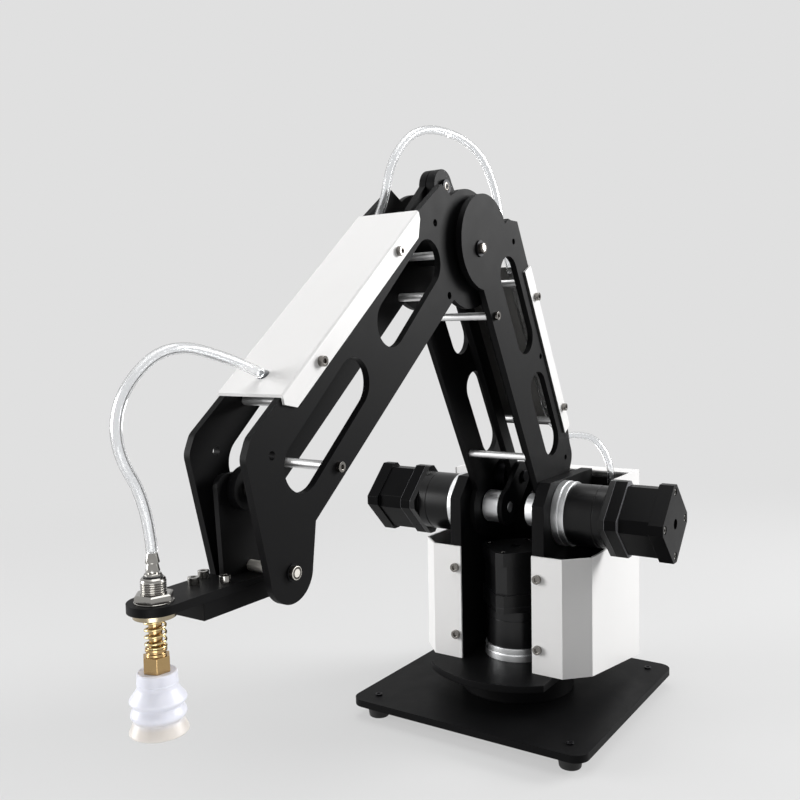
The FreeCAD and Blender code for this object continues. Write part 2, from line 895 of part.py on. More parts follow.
def make_levelling():
    face = d.rocker_thickness * 0.75
    back = face - d.rocker_thickness
    head = d.pin_radius * 1.5
    rod_low_back = face + gap
    rod_low_face = rod_low_back + d.rod_thickness
    rod_high_face = back - gap
    rod_high_back = rod_high_face - d.rod_thickness
    rear_x = shoulder_x - d.level_back

    anchor = plate("level_anchor", d.rocker_thickness, [
        (-d.turret_rear, shoulder_z - d.eye_radius * 2),
        (rear_x, shoulder_z - d.eye_radius),
        (rear_x, shoulder_z + d.eye_radius),
        (-d.turret_rear, shoulder_z + d.eye_radius),
    ], [(rear_x, shoulder_z, d.eye_radius)])
    place(anchor, 0, face, 0)
    stud(anchor, rear_x, shoulder_z, d.pin_radius, d.rod_thickness + 2 * gap)
    stud(anchor, rear_x, shoulder_z, head, 1.3, d.rod_thickness + 2 * gap)
    make_rod("level_rod_lower", d.lower_arm_length, d.eye_radius, d.rod_width, (rear_x, shoulder_z),
             d.lower_arm_lean, rod_low_face, True)

    big_eye = d.eye_radius * 1.375
    hub = d.hub_radius
    rise = d.level_rise
    ahead = d.level_forward
    behind = -d.level_back
    rocker = plate("elbow_rocker", d.rocker_thickness, [
        (ahead + big_eye, rise),
        (hub, 0),
        (0, -hub),
        (behind, -d.eye_radius),
        (behind - d.eye_radius * 0.72, d.eye_radius * 0.6),
        (ahead - big_eye * 0.76, rise + big_eye * 0.6),
    ], [(ahead, rise, big_eye), (0, 0, hub), (behind, 0, d.eye_radius)])
    sleeve = d.elbow_shaft_radius + 4
    near_reach = fore_inner - gap - face
    far_reach = fore_inner - gap + back
    stud(rocker, 0, 0, sleeve, near_reach)
    stud(rocker, 0, 0, sleeve, far_reach, d.rocker_thickness, False)
    stud(rocker, behind, 0, d.pin_radius, d.rod_thickness + 2 * gap)
    stud(rocker, behind, 0, head, 1.3, d.rod_thickness + 2 * gap)
    stud(rocker, ahead, rise, head, 2.6)
    stud(rocker, ahead, rise, d.pin_radius, d.rod_thickness + 2 * gap, d.rocker_thickness, False)
    stud(rocker, ahead, rise, head, 1.3, d.rocker_thickness + d.rod_thickness + 2 * gap, False)
    sketch = sketch_on(rocker, "XZ_Plane")
    draw_circle(sketch, 0, 0, d.elbow_shaft_radius + fit)
    pocket_through(rocker, sketch)
    place(rocker, elbow_x, face, elbow_z)
    make_rod("level_rod_upper", d.forearm_length, big_eye, d.rod_width * 1.25,
             (elbow_x + ahead, elbow_z + rise), d.forearm_dip, rod_high_face, False)

    bracket_face = rod_high_back - gap
    bracket_back = bracket_face - d.bracket_thickness
    pin = turned("wrist_level_pin", "XY_Plane", [
        (0, bracket_back - 2.4),
        (head * 1.1, bracket_back - 2.4),
        (head * 1.1, bracket_back),
        (d.pin_radius, bracket_back),
        (d.pin_radius, rod_high_face + gap),
        (head * 1.2, rod_high_face + gap),
        (head * 1.2, rod_high_face + gap + 3.4),
        (0, rod_high_face + gap + 3.4),
    ])
    place(pin, wrist_x + ahead, 0, wrist_z + rise)
    return bracket_face, bracket_back


# Forearm

fore_cover_start = 31.5
fore_cover_rise = 54.4
fore_cover_taper = as_size(4.3)
fore_cover_x, fore_cover_z = fore.at(fore_cover_start, fore_cover_rise)
fore_cover = Member(fore_cover_x, fore_cover_z, d.forearm_dip - fore_cover_taper)
fore_cover_length = d.forearm_length * 0.642
hose_hole = fore_cover_length * 0.911
fitting_clearance = 6.213


def make_forearm():
    long = d.forearm_length
    t = d.sheet_thickness

    def edge(distance):
        """A point of the plates' upper edge, one sheet below the cover's face."""
        along = fore_cover_start + distance * cosine(fore_cover_taper) + t * sine(fore_cover_taper)
        up = fore_cover_rise + distance * sine(fore_cover_taper) - t * cosine(fore_cover_taper)
        return along, up

    tip = d.forearm_tip_radius
    head = d.forearm_head_radius
    upper_end = edge(d.forearm_length * 0.757)
    outline = [
        (-5.8, head * 0.97),
        (-1.5, head + 11.4),
        edge(0),
        upper_end,
        (long - 18, upper_end[1] - 4),
        (long + tip * 0.955, tip * 0.303),
        (long, 0),
        (long - tip * 0.71, -tip * 0.704),
        (long - 28.3, 3),
        (34.3, -10),
        (head * 0.54, -head * 0.84),
        (0, 0),
    ]
    discs = ((0, 0, head), (long, 0, tip))
    beside_fitting = fore_cover_start + hose_hole + fitting_clearance
    spacers_at = ((beside_fitting, 53), (long * 0.755, 7.7), (38, -4.5), (15, 8.7))
    cover_screws = ((long * 0.642, 56.7), (long * 0.263, 50.7))
    half = d.forearm_slot_width / 2
    slots = (
        ((29 + half, 25), (long * 0.45 - half, 26.5), half),
        ((long * 0.535 + half, 28), (long * 0.883 - half, 30), half),
    )
    screws = []
    for name, side, out in SIDES:
        holes = [(0, 0, d.elbow_shaft_radius + fit), (long, 0, d.wrist_shaft_radius * 0.75)]
        holes += [(20.2, 36.6, 2.2), (long - 30.7, 50.3, 2.2)]
        holes += [(x, z, SCREW_HOLE) for x, z in spacers_at[:2] + cover_screws]
        holes.append((*spacers_at[2], d.spacer_radius * 0.9))
        if side < 0:
            holes.append((-d.crank_radius, 0, d.pin_radius))
        web = plate("forearm_plate_" + name, d.forearm_plate_thickness, outline, discs, holes, slots)
        round_corners(web, 8, [outline[3], outline[4]], 1)
        fore.place(web, fore_outer if side > 0 else -fore_inner)
        for x, z in spacers_at[1:2]:
            spot = fore.at(x, z)
            screws.append(screw((spot[0], fore_outer * side, spot[1]), out, d.forearm_plate_thickness))
        for x, z in cover_screws:
            spot = fore.at(x, z)
            seat = fore_outer + t
            screws.append(screw((spot[0], seat * side, spot[1]), out, t + d.forearm_plate_thickness))
    group("forearm_screws", screws)
    spacers = []
    for x, z in spacers_at:
        spot = fore.at(x, z)
        spacers.append(cylinder(d.spacer_radius, d.forearm_gap, (spot[0], -fore_inner, spot[1]), NEAR, "spacer"))
    group("forearm_spacers", spacers)

    depth = d.forearm_cover_depth
    full = fore_cover_length
    cover = new_body("forearm_cover")
    sketch = sketch_on(cover, "XZ_Plane")
    draw_outline(sketch, [
        (0, 0),
        (full, 0),
        (full + depth * 0.17, -depth * 0.38),
        (full - depth * 0.33, -depth),
        (depth * 0.84, -depth),
        (depth * 0.14, -depth * 0.4),
    ])
    pad(cover, sketch, (fore_outer + t) * 2, both_ways=True)
    bends = [(fore_outer + t, 0), (-fore_outer - t, 0)]
    round_corners(cover, t, bends, 0)
    sketch = sketch_on(cover, "YZ_Plane")
    draw_outline(sketch, [
        (-fore_outer, -t),
        (fore_outer, -t),
        (fore_outer, -depth - 1),
        (-fore_outer, -depth - 1),
    ])
    pocket_through(cover, sketch)
    sketch = sketch_on(cover, "XY_Plane")
    draw_circle(sketch, hose_hole, 0, d.hose_radius + 0.7)
    pocket_through(cover, sketch)
    sketch = sketch_on(cover, "XZ_Plane")
    for x, z in cover_screws:
        along = x - fore_cover_start
        up = z - fore_cover_rise
        local_x = along * cosine(fore_cover_taper) + up * sine(fore_cover_taper)
        local_z = up * cosine(fore_cover_taper) - along * sine(fore_cover_taper)
        draw_circle(sketch, local_x, local_z, SCREW_HOLE)
    pocket_through(cover, sketch)
    fore_cover.place(cover, 0)

    core = d.wrist_shaft_radius
    half_profile = [
        (core, fore_inner),
        (core * 0.75, fore_inner),
        (core * 0.75, fore_outer),
        (core * 1.45, fore_outer),
        (core * 1.45, fore_outer + 0.8),
        (core * 1.2, fore_outer + 0.8),
        (core * 1.2, fore_outer + 3),
        (0, fore_outer + 3),
    ]
    mirrored = [(r, -y) for r, y in reversed(half_profile)]
    shaft = turned("wrist_shaft", "XY_Plane", mirrored + half_profile)
    fore.place(shaft, 0, long, 0)


# Wrist and suction tool

wrist_boss_radius = d.wrist_shaft_radius + 2
block_top = wrist_z - wrist_boss_radius - 0.2
tool_x = wrist_x + d.tool_reach
tool_y = -d.tool_offset


def make_wrist(bracket_face, bracket_back):
    t = d.bracket_thickness
    foot_rear = -10.8
    foot_front = 18.2
    low = block_top - wrist_z
    high = low + d.bracket_height
    front_top = (foot_front + 3, high)
    rear_top = (foot_rear + 4, high)
    bracket = plate("wrist_bracket", t, [(foot_rear, low), (foot_front, low), front_top, rear_top])
    round_corners(bracket, 6, [front_top, rear_top], 1)
    hole = sketch_on(bracket, "XZ_Plane")
    draw_circle(hole, d.level_forward, d.level_rise, d.pin_radius)
    pocket_through(bracket, hole)
    foot = sketch_on(bracket, "XY_Plane", low)
    back = bracket_back - bracket_face
    draw_outline(foot, [(foot_rear, back), (foot_front, back), (foot_front, 12), (foot_rear, 12)])
    pad(bracket, foot, 2.5)
    boss_length = fore_inner - gap + bracket_back
    stud(bracket, 0, 0, wrist_boss_radius, boss_length, t, False)
    bore = sketch_on(bracket, "XZ_Plane")
    draw_circle(bore, 0, 0, d.wrist_shaft_radius + fit)
    pocket_through(bracket, bore)
    place(bracket, wrist_x, bracket_face, wrist_z)

    block = doc.addObject("Part::Box", "tool_block")
    block.Label = "tool_block"
    bind(block, "Length", d.tool_block_length)
    bind(block, "Width", d.tool_block_width)
    bind(block, "Height", d.tool_block_height)
    block_y = 5 - d.tool_block_width
    place(block, wrist_x - 12.8, block_y, block_top - d.tool_block_height)

    half = d.bushing_radius * 2.1
    start = wrist_x + foot_front + 0.5 - tool_x
    top = block_top + d.tool_plate_thickness
    screw_spots = ((start + 7, -half + 3.4), (start + 17.5, -4.2), (start + 8, half - 5.5))
    tray = new_body("tool_plate")
    sketch = sketch_on(tray, "XY_Plane")
    draw_outline(sketch, [(start, -half), (0, -half), (0, half), (start, half)])
    pad(tray, sketch, d.tool_plate_thickness)
    sketch = sketch_on(tray, "XY_Plane")
    draw_circle(sketch, 0, 0, half)
    pad(tray, sketch, d.tool_plate_thickness)
    sketch = sketch_on(tray, "XY_Plane")
    draw_circle(sketch, 0, 0, d.bushing_radius)
    for x, y in screw_spots:
        draw_circle(sketch, x, y, SCREW_HOLE)
    pocket_through(tray, sketch)
    place(tray, tool_x, tool_y, block_top)
    screws = []
    for x, y in screw_spots:
        screws.append(screw((tool_x + x, tool_y + y, top), Vector(0, 0, 1), d.tool_plate_thickness, 2.75, 3.6))
    group("tool_screws", screws)

    # the bushing screws into the plate and ends in a barb; the stem slides in its blind bore
    bushing_low = block_top - d.locknut_height
    height = d.bushing_length
    r = d.bushing_radius
    bore = d.stem_radius + fit
    passage = d.hose_radius * 0.45
    neck = d.hose_radius * 1.5
    barb = d.hose_radius * 1.22
    throat = d.hose_radius * 0.9
    barb_top = height + 10.6
    sleeve = turned("bushing_sleeve", "XZ_Plane", [
        (bore, 0),
        (r, 0),
        (r, height - 0.8),
        (r - 0.8, height),
        (neck, height),
        (neck, height + 1.8),
        (throat, height + 1.8),
        (throat, height + 2.6),
        (barb, height + 2.6),
        (throat, height + 6.4),
        (barb, height + 6.4),
        (throat, barb_top),
        (passage, barb_top),
        (passage, height - 2),
        (bore, height - 2),
    ])
    place(sleeve, tool_x, tool_y, bushing_low)
    pieces = [sleeve]
    level = top + d.washer_thickness
    nut = hexagon(d.nut_flats, d.nut_height, (tool_x, tool_y, level), "nut_blank")
    hole = cylinder(r, d.nut_height, (tool_x, tool_y, level), label="nut_hole")
    pieces.append(cut(nut, hole, "nut"))
    for level, tall in ((bushing_low, d.locknut_height), (top, d.washer_thickness)):
        disc = cylinder(d.nut_flats * 0.62, tall, (tool_x, tool_y, level), label="ring_blank")
        hole = cylinder(r, tall, (tool_x, tool_y, level), label="ring_hole")
        pieces.append(cut(disc, hole, "ring"))
    group("stem_bushing", pieces)
    return bushing_low, bushing_low + barb_top


def make_plunger(bushing_low):
    collar_top = block_top - d.plunger_drop
    cup_low = collar_top - d.cup_height
    h = d.cup_height
    lip = d.cup_radius
    cup = turned("suction_cup", "XZ_Plane", [
        (lip - 1.2, 0),
        (lip, 0),
        (lip, h * 0.05),
        (lip * 0.86, h * 0.2),
        (lip * 0.925, h * 0.29),
        (lip * 0.925, h * 0.36),
        (lip * 0.82, h * 0.47),
        (lip * 0.945, h * 0.57),
        (lip * 0.945, h * 0.62),
        (lip * 0.69, h * 0.79),
        (lip * 0.69, h),
        (d.stem_radius, h),
        (d.stem_radius, h * 0.74),
        (lip * 0.58, h * 0.73),
        (lip * 0.82, h * 0.6),
        (lip * 0.7, h * 0.47),
        (lip * 0.8, h * 0.33),
        (lip * 0.73, h * 0.2),
    ])
    place(cup, tool_x, tool_y, cup_low)

    hex_height = 7.2
    shoulder = hex_height + 3.4
    rod_low = cup_low + h * 0.74 - collar_top
    rod_high = bushing_low + d.bushing_length - 2 - d.plunger_travel - 1 - collar_top
    r = d.stem_radius
    stem = turned("suction_stem", "XZ_Plane", [
        (0, rod_low),
        (r, rod_low),
        (r, hex_height),
        (r * 1.5, hex_height),
        (r * 1.5, hex_height + 1.2),
        (r * 1.3, hex_height + 1.2),
        (r * 1.3, hex_height + 2),
        (r * 1.6, hex_height + 2),
        (r * 1.6, shoulder),
        (r, shoulder),
        (r, rod_high),
        (0, rod_high),
    ])
    sketch = sketch_on(stem, "XY_Plane")
    flats = d.bushing_radius * 1.95
    corners = []
    for index in range(6):
        turn = as_size(60 * index + 50)
        corners.append((flats / math.sqrt(3) * cosine(turn), flats / math.sqrt(3) * sine(turn)))
    draw_outline(sketch, corners)
    pad(stem, sketch, hex_height)
    place(stem, tool_x, tool_y, collar_top)

    wire = float(d.spring_wire)
    low = float(collar_top) + shoulder + wire / 2 + 0.05
    high = float(bushing_low) - wire / 2 - 0.05
    coils = 5
    mean = float(d.stem_radius) + wire / 2 + 0.9
    helix = Part.makeHelix((high - low) / coils, high - low, mean)
    ring = Part.Wire(Part.Edge(Part.Circle(Vector(mean, 0, 0), Vector(0, 1, 0), wire / 2)))
    coil = Part.Wire(helix.Edges).makePipeShell([ring], True, True)
    spring = doc.addObject("Part::Feature", "plunger_spring")
    spring.Label = "plunger_spring"
    spring.Shape = coil
    spring.Placement = Placement(Vector(float(tool_x), float(tool_y), low), Rotation())


# Air hose

def hose_wire(points):
    """Straight runs joined by tangent arcs; returns the wire and the arcs' radii."""
    edges = []
    radii = []
    here = points[0]
    for before, corner, after in zip(points, points[1:], points[2:]):
        inward = (before - corner).normalize()
        outward = (after - corner).normalize()
        half_turn = (math.pi - inward.getAngle(outward)) / 2
        leg = 0.45 * min((before - corner).Length, (after - corner).Length)
        radius = leg / math.tan(half_turn)
        first = corner + inward * leg
        last = corner + outward * leg
        bisector = (inward + outward).normalize()
        centre = corner + bisector * math.hypot(leg, radius)
        middle = centre - bisector * radius
        edges.append(Part.LineSegment(here, first).toShape())
        edges.append(Part.Arc(first, middle, last).toShape())
        radii.append(round(radius, 1))
        here = last
    edges.append(Part.LineSegment(here, points[-1]).toShape())
    return Part.Wire(edges), radii


def make_hose(name, places):
    points = [Vector(*[float(number) for number in spot]) for spot in places]
    path, radii = hose_wire(points)
    first = points[0]
    ring = Part.Wire(Part.Edge(Part.Circle(first, points[1] - first, float(d.hose_radius))))
    solid = path.makePipeShell([ring], True, False)
    section = math.pi * float(d.hose_radius) ** 2
    print(name, "radii", radii, "volume ratio", round(solid.Volume / (section * path.Length), 4))
    hose = doc.addObject("Part::Feature", name)
    hose.Label = name
    hose.Shape = solid


def make_hoses(barb_top):
    t = d.sheet_thickness
    r = d.hose_radius
    # lower arm: a straight run inside the white rear cover
    depth = -d.lower_rear - 0.5 + r + 0.8
    run_y = 15
    bottom = lower.at(depth, d.lower_arm_length * 0.267)
    top = lower.at(depth, d.lower_arm_length * 0.8)
    make_hose("hose_lower_run", [(bottom[0], run_y, bottom[1]), (top[0], run_y, top[1])])

    # forearm: a straight run under the white cover, ending in a fitting below the hole
    depth = -t - r - gap
    side = -10
    entry = fore_cover.at(7.5, depth)
    leave = fore_cover.at(hose_hole - 16, depth)
    make_hose("hose_forearm_run", [(entry[0], side, entry[1]), (leave[0], side, leave[1])])
    normal = Vector(float(sine(fore_cover.tilt)), 0, float(cosine(fore_cover.tilt)))
    along = Vector(float(cosine(fore_cover.tilt)), 0, -float(sine(fore_cover.tilt)))
    collar = fore_cover.at(hose_hole, 0)
    seat = Vector(float(collar[0]), 0, float(collar[1]))
    outlet = Vector(math.cos(math.radians(22)), 0, math.sin(math.radians(22)))
    inlet = Vector(float(leave[0]), side, float(leave[1]))
    reach = float(r)
    nozzle = cylinder(r * 0.8, 12, seat - outlet * 9.9, outlet, "elbow_nozzle")
    barrel = cylinder(r * 1.25, 6 + reach, seat - normal * (float(t) + 6 + reach + 0.4), normal, "elbow_barrel")
    bridge_start = inlet + along * 9
    bridge = cylinder(r * 1.1, 16 - 9 + reach * 0.5, bridge_start, along, "elbow_bridge")
    cross = cylinder(r * 1.1, 10 + reach, seat + normal * float(depth) + Vector(0, -10 - reach, 0), NEAR, "elbow_cross")
    tail = cylinder(r * 0.8, 10, inlet + along * 0.05, along, "elbow_tail")
    elbow = joined(joined(joined(barrel, nozzle), joined(bridge, cross)), tail, "forearm_hose_elbow")
    elbow.Label = "forearm_hose_elbow"

    # loop from the forearm to the tool
    start = seat + outlet * 2.2
    end = Vector(float(tool_x), float(tool_y), float(barb_top) + 0.4)
    make_hose("hose_tool_loop", [
        start,
        start + outlet * 22 + Vector(0, -0.5, 0),
        Vector(end.x - 11, end.y + 2.6, start.z + 16.4),
        Vector(end.x + 14.5, end.y + 1.2, start.z - 3.1),
        Vector(end.x + 18, end.y + 0.5, end.z + 47.3),
        Vector(end.x + 1.3, end.y, end.z + 21.3),
        end,
    ])

    # arch over the elbow in two lengths that meet at its crown
    crown = Vector(float(elbow_x) - 4, 4, float(elbow_z) + 74)
    over = Vector(25, -4, 2)
    lower_end = Vector(float(top[0]), run_y, float(top[1]))
    arm_up = Vector(float(sine(d.lower_arm_lean)), 0, float(cosine(d.lower_arm_lean)))
    make_hose("hose_elbow_rear", [
        lower_end,
        lower_end + arm_up * 26,
        Vector(crown.x - 46, 12.5, crown.z - 27.3),
        crown - over,
        crown,
    ])
    fore_end = Vector(float(entry[0]), side, float(entry[1]))
    make_hose("hose_elbow_front", [
        crown,
        crown + over,
        Vector(crown.x + 51.2, -5.5, crown.z - 20.8),
        fore_end - along * 17,
        fore_end,
    ])

    # slack length from the lower arm to a fitting on the turret's near plate
    fitting = Vector(-float(d.turret_rear) + 5.5, float(turret_outer) + 16, float(floor_top) + 97)
    stem = cylinder(r + 1.2, 16 + reach, fitting - Vector(0, 16, 0), NEAR, "fitting_stem")
    spout = cylinder(r * 0.8, 9, fitting, Vector(0, 0, 1), "fitting_spout")
    small = joined(stem, spout, "turret_hose_elbow")
    small.Label = "turret_hose_elbow"
    base_end = fitting + Vector(0, 0, 9.5)
    lower_start = Vector(float(bottom[0]), run_y, float(bottom[1]))
    make_hose("hose_base_loop", [
        lower_start,
        lower_start - arm_up * 28,
        lower_start + Vector(-30.9, 23, -22.9),
        base_end + Vector(-4, -3, 39),
        base_end + Vector(-2.3, 1.3, 19),
        base_end,
    ])


make_base()
make_turret()
make_covers()
make_motors()
make_lower_arm()
make_drive()
bracket_planes = make_levelling()
make_forearm()
bushing_bottom, barb_end = make_wrist(*bracket_planes)
make_plunger(bushing_bottom)
make_hoses(barb_end)
doc.recompute()

NODES = (
    "base_plate", "rubber_feet", "foot_screws", "base_pedestal",
    "turret_floor", "turret_plate_near", "turret_plate_far", "turret_back_plate",
    "turret_cover_near", "turret_cover_far", "turret_rear_cover", "turret_cover_screws",
    "level_anchor", "turret_hose_elbow",
    "near_output_flange", "near_gearbox", "near_motor",
    "far_output_flange", "far_gearbox", "far_motor",
    "base_output_flange", "base_gearbox", "base_motor",
    "lower_arm_plate_near", "lower_arm_plate_far", "lower_arm_spacers", "lower_arm_cover",
    "lower_arm_screws", "shoulder_hub", "elbow_shaft", "hose_lower_run",
    "crank_plate", "crank_hub", "crank_pin", "push_rod", "push_rod_pin",
    "level_rod_lower", "elbow_rocker", "level_rod_upper",
    "forearm_plate_near", "forearm_plate_far", "forearm_spacers", "forearm_cover",
    "forearm_screws", "wrist_shaft", "forearm_hose_elbow", "hose_forearm_run",
    "wrist_bracket", "wrist_level_pin", "tool_block", "tool_plate", "tool_screws", "stem_bushing",
    "suction_stem", "suction_cup", "plunger_spring",
    "hose_tool_loop", "hose_elbow_rear", "hose_elbow_front", "hose_base_loop",
)

for thing in doc.Objects:
    if "Invalid" in thing.State or "Error" in thing.State:
        raise RuntimeError(f"{thing.Label} did not build: {thing.State}")

os.makedirs("parts", exist_ok=True)
for node in NODES:
    thing = doc.getObjectsByLabel(node)[0]
    shape = thing.Shape
    if shape.isNull() or not shape.isValid() or not shape.Solids:
        raise RuntimeError(f"{node} has no valid solid")
    shape.exportStep(f"parts/{node}.step")
print(len(NODES), "parts written")
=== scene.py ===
"""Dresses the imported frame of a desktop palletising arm: finishes, hose, hardware, stage and camera."""

import logging
import math
from dataclasses import dataclass
from enum import Enum

import bpy
from mathutils import Matrix, Vector


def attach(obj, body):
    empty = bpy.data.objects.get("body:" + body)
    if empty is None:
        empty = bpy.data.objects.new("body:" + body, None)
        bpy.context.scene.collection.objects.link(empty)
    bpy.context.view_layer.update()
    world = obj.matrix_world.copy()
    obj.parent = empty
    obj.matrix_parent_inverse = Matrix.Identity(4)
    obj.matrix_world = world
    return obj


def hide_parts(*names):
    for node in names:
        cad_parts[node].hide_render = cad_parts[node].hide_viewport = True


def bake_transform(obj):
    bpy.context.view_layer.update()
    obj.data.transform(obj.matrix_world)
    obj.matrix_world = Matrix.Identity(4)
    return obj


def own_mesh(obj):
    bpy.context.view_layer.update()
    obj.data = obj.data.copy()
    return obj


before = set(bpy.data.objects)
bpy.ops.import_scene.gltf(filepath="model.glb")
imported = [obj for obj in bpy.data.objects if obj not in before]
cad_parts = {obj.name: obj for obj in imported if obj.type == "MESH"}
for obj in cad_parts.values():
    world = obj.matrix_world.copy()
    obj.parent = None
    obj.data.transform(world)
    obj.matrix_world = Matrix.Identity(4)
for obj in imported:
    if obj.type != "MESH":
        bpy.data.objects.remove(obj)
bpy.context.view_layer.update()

LOG = logging.getLogger("palletising_arm")
MM = 0.001
Link = bpy.types.NodeSocket
Point = tuple[float, float, float]
Shading = tuple[bpy.types.Material, bpy.types.NodeTree, bpy.types.Node, Link]
# A height and a radius for each knot of a turned outline.
Profile = tuple[tuple[float, float], ...]
# A height, a radius and a number of sides.
Section = tuple[float, float, int]
ROUND = 0
HEXAGON = 6

# Sockets of the colour mix node, by number because their names repeat for every kind of data.
MIX_A = 6
MIX_B = 7
MIX_RESULT = 2
# How often the wave texture repeats in one unit at a scale of one.
WAVES_PER_UNIT = 3.2


def linear(code: str) -> tuple[float, float, float, float]:
    """Turns an sRGB hex colour into linear RGBA.

    Args:
        code: colour such as "#1A1A1C".

    Returns:
        Red, green, blue and an alpha of one.
    """
    parts = [int(code[i : i + 2], 16) / 255 for i in (1, 3, 5)]
    red, green, blue = (c / 12.92 if c <= 0.04045 else ((c + 0.055) / 1.055) ** 2.4 for c in parts)
    return red, green, blue, 1.0


def add_node(
    tree: bpy.types.NodeTree,
    kind: str,
    settings: dict[str | int, object] | None = None,
    links: dict[str | int, Link] | None = None,
) -> bpy.types.Node:
    """Adds one shader node with its settings and links.

    Args:
        tree: the material's node tree.
        kind: Blender's type name of the node.
        settings: attributes, or values of inputs by name or number.
        links: the sockets that feed inputs, by name or number.

    Returns:
        The new node.
    """
    made = tree.nodes.new(kind)
    for name, value in (settings or {}).items():
        if isinstance(name, str) and hasattr(made, name):
            setattr(made, name, value)
        else:
            made.inputs[name].default_value = value
    for name, source in (links or {}).items():
        tree.links.new(source, made.inputs[name])
    return made


def largest(tree: bpy.types.NodeTree, values: list[Link]) -> Link:
    """Joins sockets into one that carries the largest of their values.

    Args:
        tree: the node tree.
        values: one or more sockets.

    Returns:
        The joined socket.
    """
    top = values[0]
    for value in values[1:]:
        top = add_node(tree, "ShaderNodeMath", {"operation": "MAXIMUM"}, {0: top, 1: value}).outputs[0]
    return top


class Axis(Enum):
    """The frame's axes, for patterns that run along or around one."""

    X = 0
    Y = 1
    Z = 2


@dataclass(frozen=True)
class Finish:
    """One surface finish and how it was made.

    The grain is a fine height pattern of the surface, the mottle a slow change of tone and gloss.
    """

    name: str
    colour: str
    roughness: float
    metallic: float = 0.0
    specular: float = 0.5
    grain_mm: float = 0.6
    grain_depth: float = 0.15
    grain_height_mm: float = 0.2
    grain_detail: float = 3.0
    mottle_mm: float = 18.0
    mottle: float = 0.12
    mottle_detail: float = 4.0
    mottle_fineness: float = 0.6
    gloss_change: float = 0.08

    def start(self) -> Shading:
        """Makes an empty material with its shader and the frame's coordinates.

        Returns:
            The material, its tree, the shader and the coordinate socket.
        """
        material = bpy.data.materials.new(self.name)
        material.use_nodes = True
        tree = material.node_tree
        tree.nodes.clear()
        shader = add_node(
            tree,
            "ShaderNodeBsdfPrincipled",
            {
                "Metallic": self.metallic,
                "Specular IOR Level": self.specular,
                "Base Color": linear(self.colour),
            },
        )
        add_node(tree, "ShaderNodeOutputMaterial", links={"Surface": shader.outputs[0]})
        place = add_node(tree, "ShaderNodeTexCoord").outputs["Object"]
        return material, tree, shader, place

    def tone(self, tree: bpy.types.NodeTree, shader: bpy.types.Node, place: Link) -> None:
        """Lets colour and gloss drift slowly over the surface, as handled and sprayed surfaces do."""
        cloud = add_node(
            tree,
            "ShaderNodeTexNoise",
            {
                "Scale": 1 / (self.mottle_mm * MM),
                "Detail": self.mottle_detail,
                "Roughness": self.mottle_fineness,
            },
            {"Vector": place},
        ).outputs[0]
        base = linear(self.colour)[:3]
        low = (*(c * (1 - self.mottle) for c in base), 1.0)
        high = (*(min(1.0, c * (1 + self.mottle)) for c in base), 1.0)
        mix = add_node(tree, "ShaderNodeMix", {"data_type": "RGBA", MIX_A: low, MIX_B: high}, {0: cloud})
        tree.links.new(mix.outputs[MIX_RESULT], shader.inputs["Base Color"])
        gloss = add_node(
            tree,
            "ShaderNodeMapRange",
            {"To Min": self.roughness - self.gloss_change, "To Max": self.roughness + self.gloss_change},
            {"Value": cloud},
        )
        tree.links.new(gloss.outputs[0], shader.inputs["Roughness"])

    def bump(
        self, tree: bpy.types.NodeTree, shader: bpy.types.Node, height: Link, depth: float, height_mm: float
    ) -> None:
        """Lets a height pattern tilt the surface.

        Args:
            tree: the material's node tree.
            shader: the material's shader.
            height: the pattern.
            depth: the pattern's strength.
            height_mm: the height that a full step of the pattern stands for.
        """
        settings = {"Strength": depth, "Distance": height_mm * MM}
        bump = add_node(tree, "ShaderNodeBump", settings, {"Height": height})
        tree.links.new(bump.outputs[0], shader.inputs["Normal"])

    def grain(self, tree: bpy.types.NodeTree, shader: bpy.types.Node, place: Link) -> None:
        """Adds the fine height pattern as bump."""
        settings = {"Scale": 1 / (self.grain_mm * MM), "Detail": self.grain_detail}
        height = add_node(tree, "ShaderNodeTexNoise", settings, {"Vector": place}).outputs[0]
        self.bump(tree, shader, height, self.grain_depth, self.grain_height_mm)

    def cover(self, tree: bpy.types.NodeTree, shader: bpy.types.Node, share: Link, colour: str) -> None:
        """Lays a second colour over the first one.

        Args:
            tree: the material's node tree.
            shader: the material's shader.
            share: how much of the second colour shows at each place, from zero to one.
            colour: the second colour.
        """
        body = shader.inputs["Base Color"].links[0].from_socket
        settings = {"data_type": "RGBA", MIX_B: linear(colour)}
        mix = add_node(tree, "ShaderNodeMix", settings, {0: share, MIX_A: body})
        tree.links.new(mix.outputs[MIX_RESULT], shader.inputs["Base Color"])

    def coated(self) -> Shading:
        """Makes the material with its tone and grain, and hands out its parts."""
        material, tree, shader, place = self.start()
        self.tone(tree, shader, place)
        self.grain(tree, shader, place)
        return material, tree, shader, place

    def build(self) -> bpy.types.Material:
        """Builds the material."""
        return self.coated()[0]


@dataclass(frozen=True)
class TurnedFinish(Finish):
    """Bright metal turned on a lathe: fine rings around one axis that stretch the highlight."""

    axis: Axis = Axis.Y
    ring_mm: float = 0.5
    ring_depth: float = 0.12
    ring_height_mm: float = 0.1
    ring_detail: float = 2.0
    wander: float = 0.6

    def build(self) -> bpy.types.Material:
        """Builds the material with tool rings along the axis."""
        material, tree, shader, place = self.start()
        self.tone(tree, shader, place)
        rings = add_node(
            tree,
            "ShaderNodeTexWave",
            {
                "wave_type": "BANDS",
                "bands_direction": self.axis.name,
                "Scale": 1 / (self.ring_mm * MM) / WAVES_PER_UNIT,
                "Distortion": self.wander,
                "Detail": self.ring_detail,
            },
            {"Vector": place},
        ).outputs[1]
        self.bump(tree, shader, rings, self.ring_depth, self.ring_height_mm)
        return material


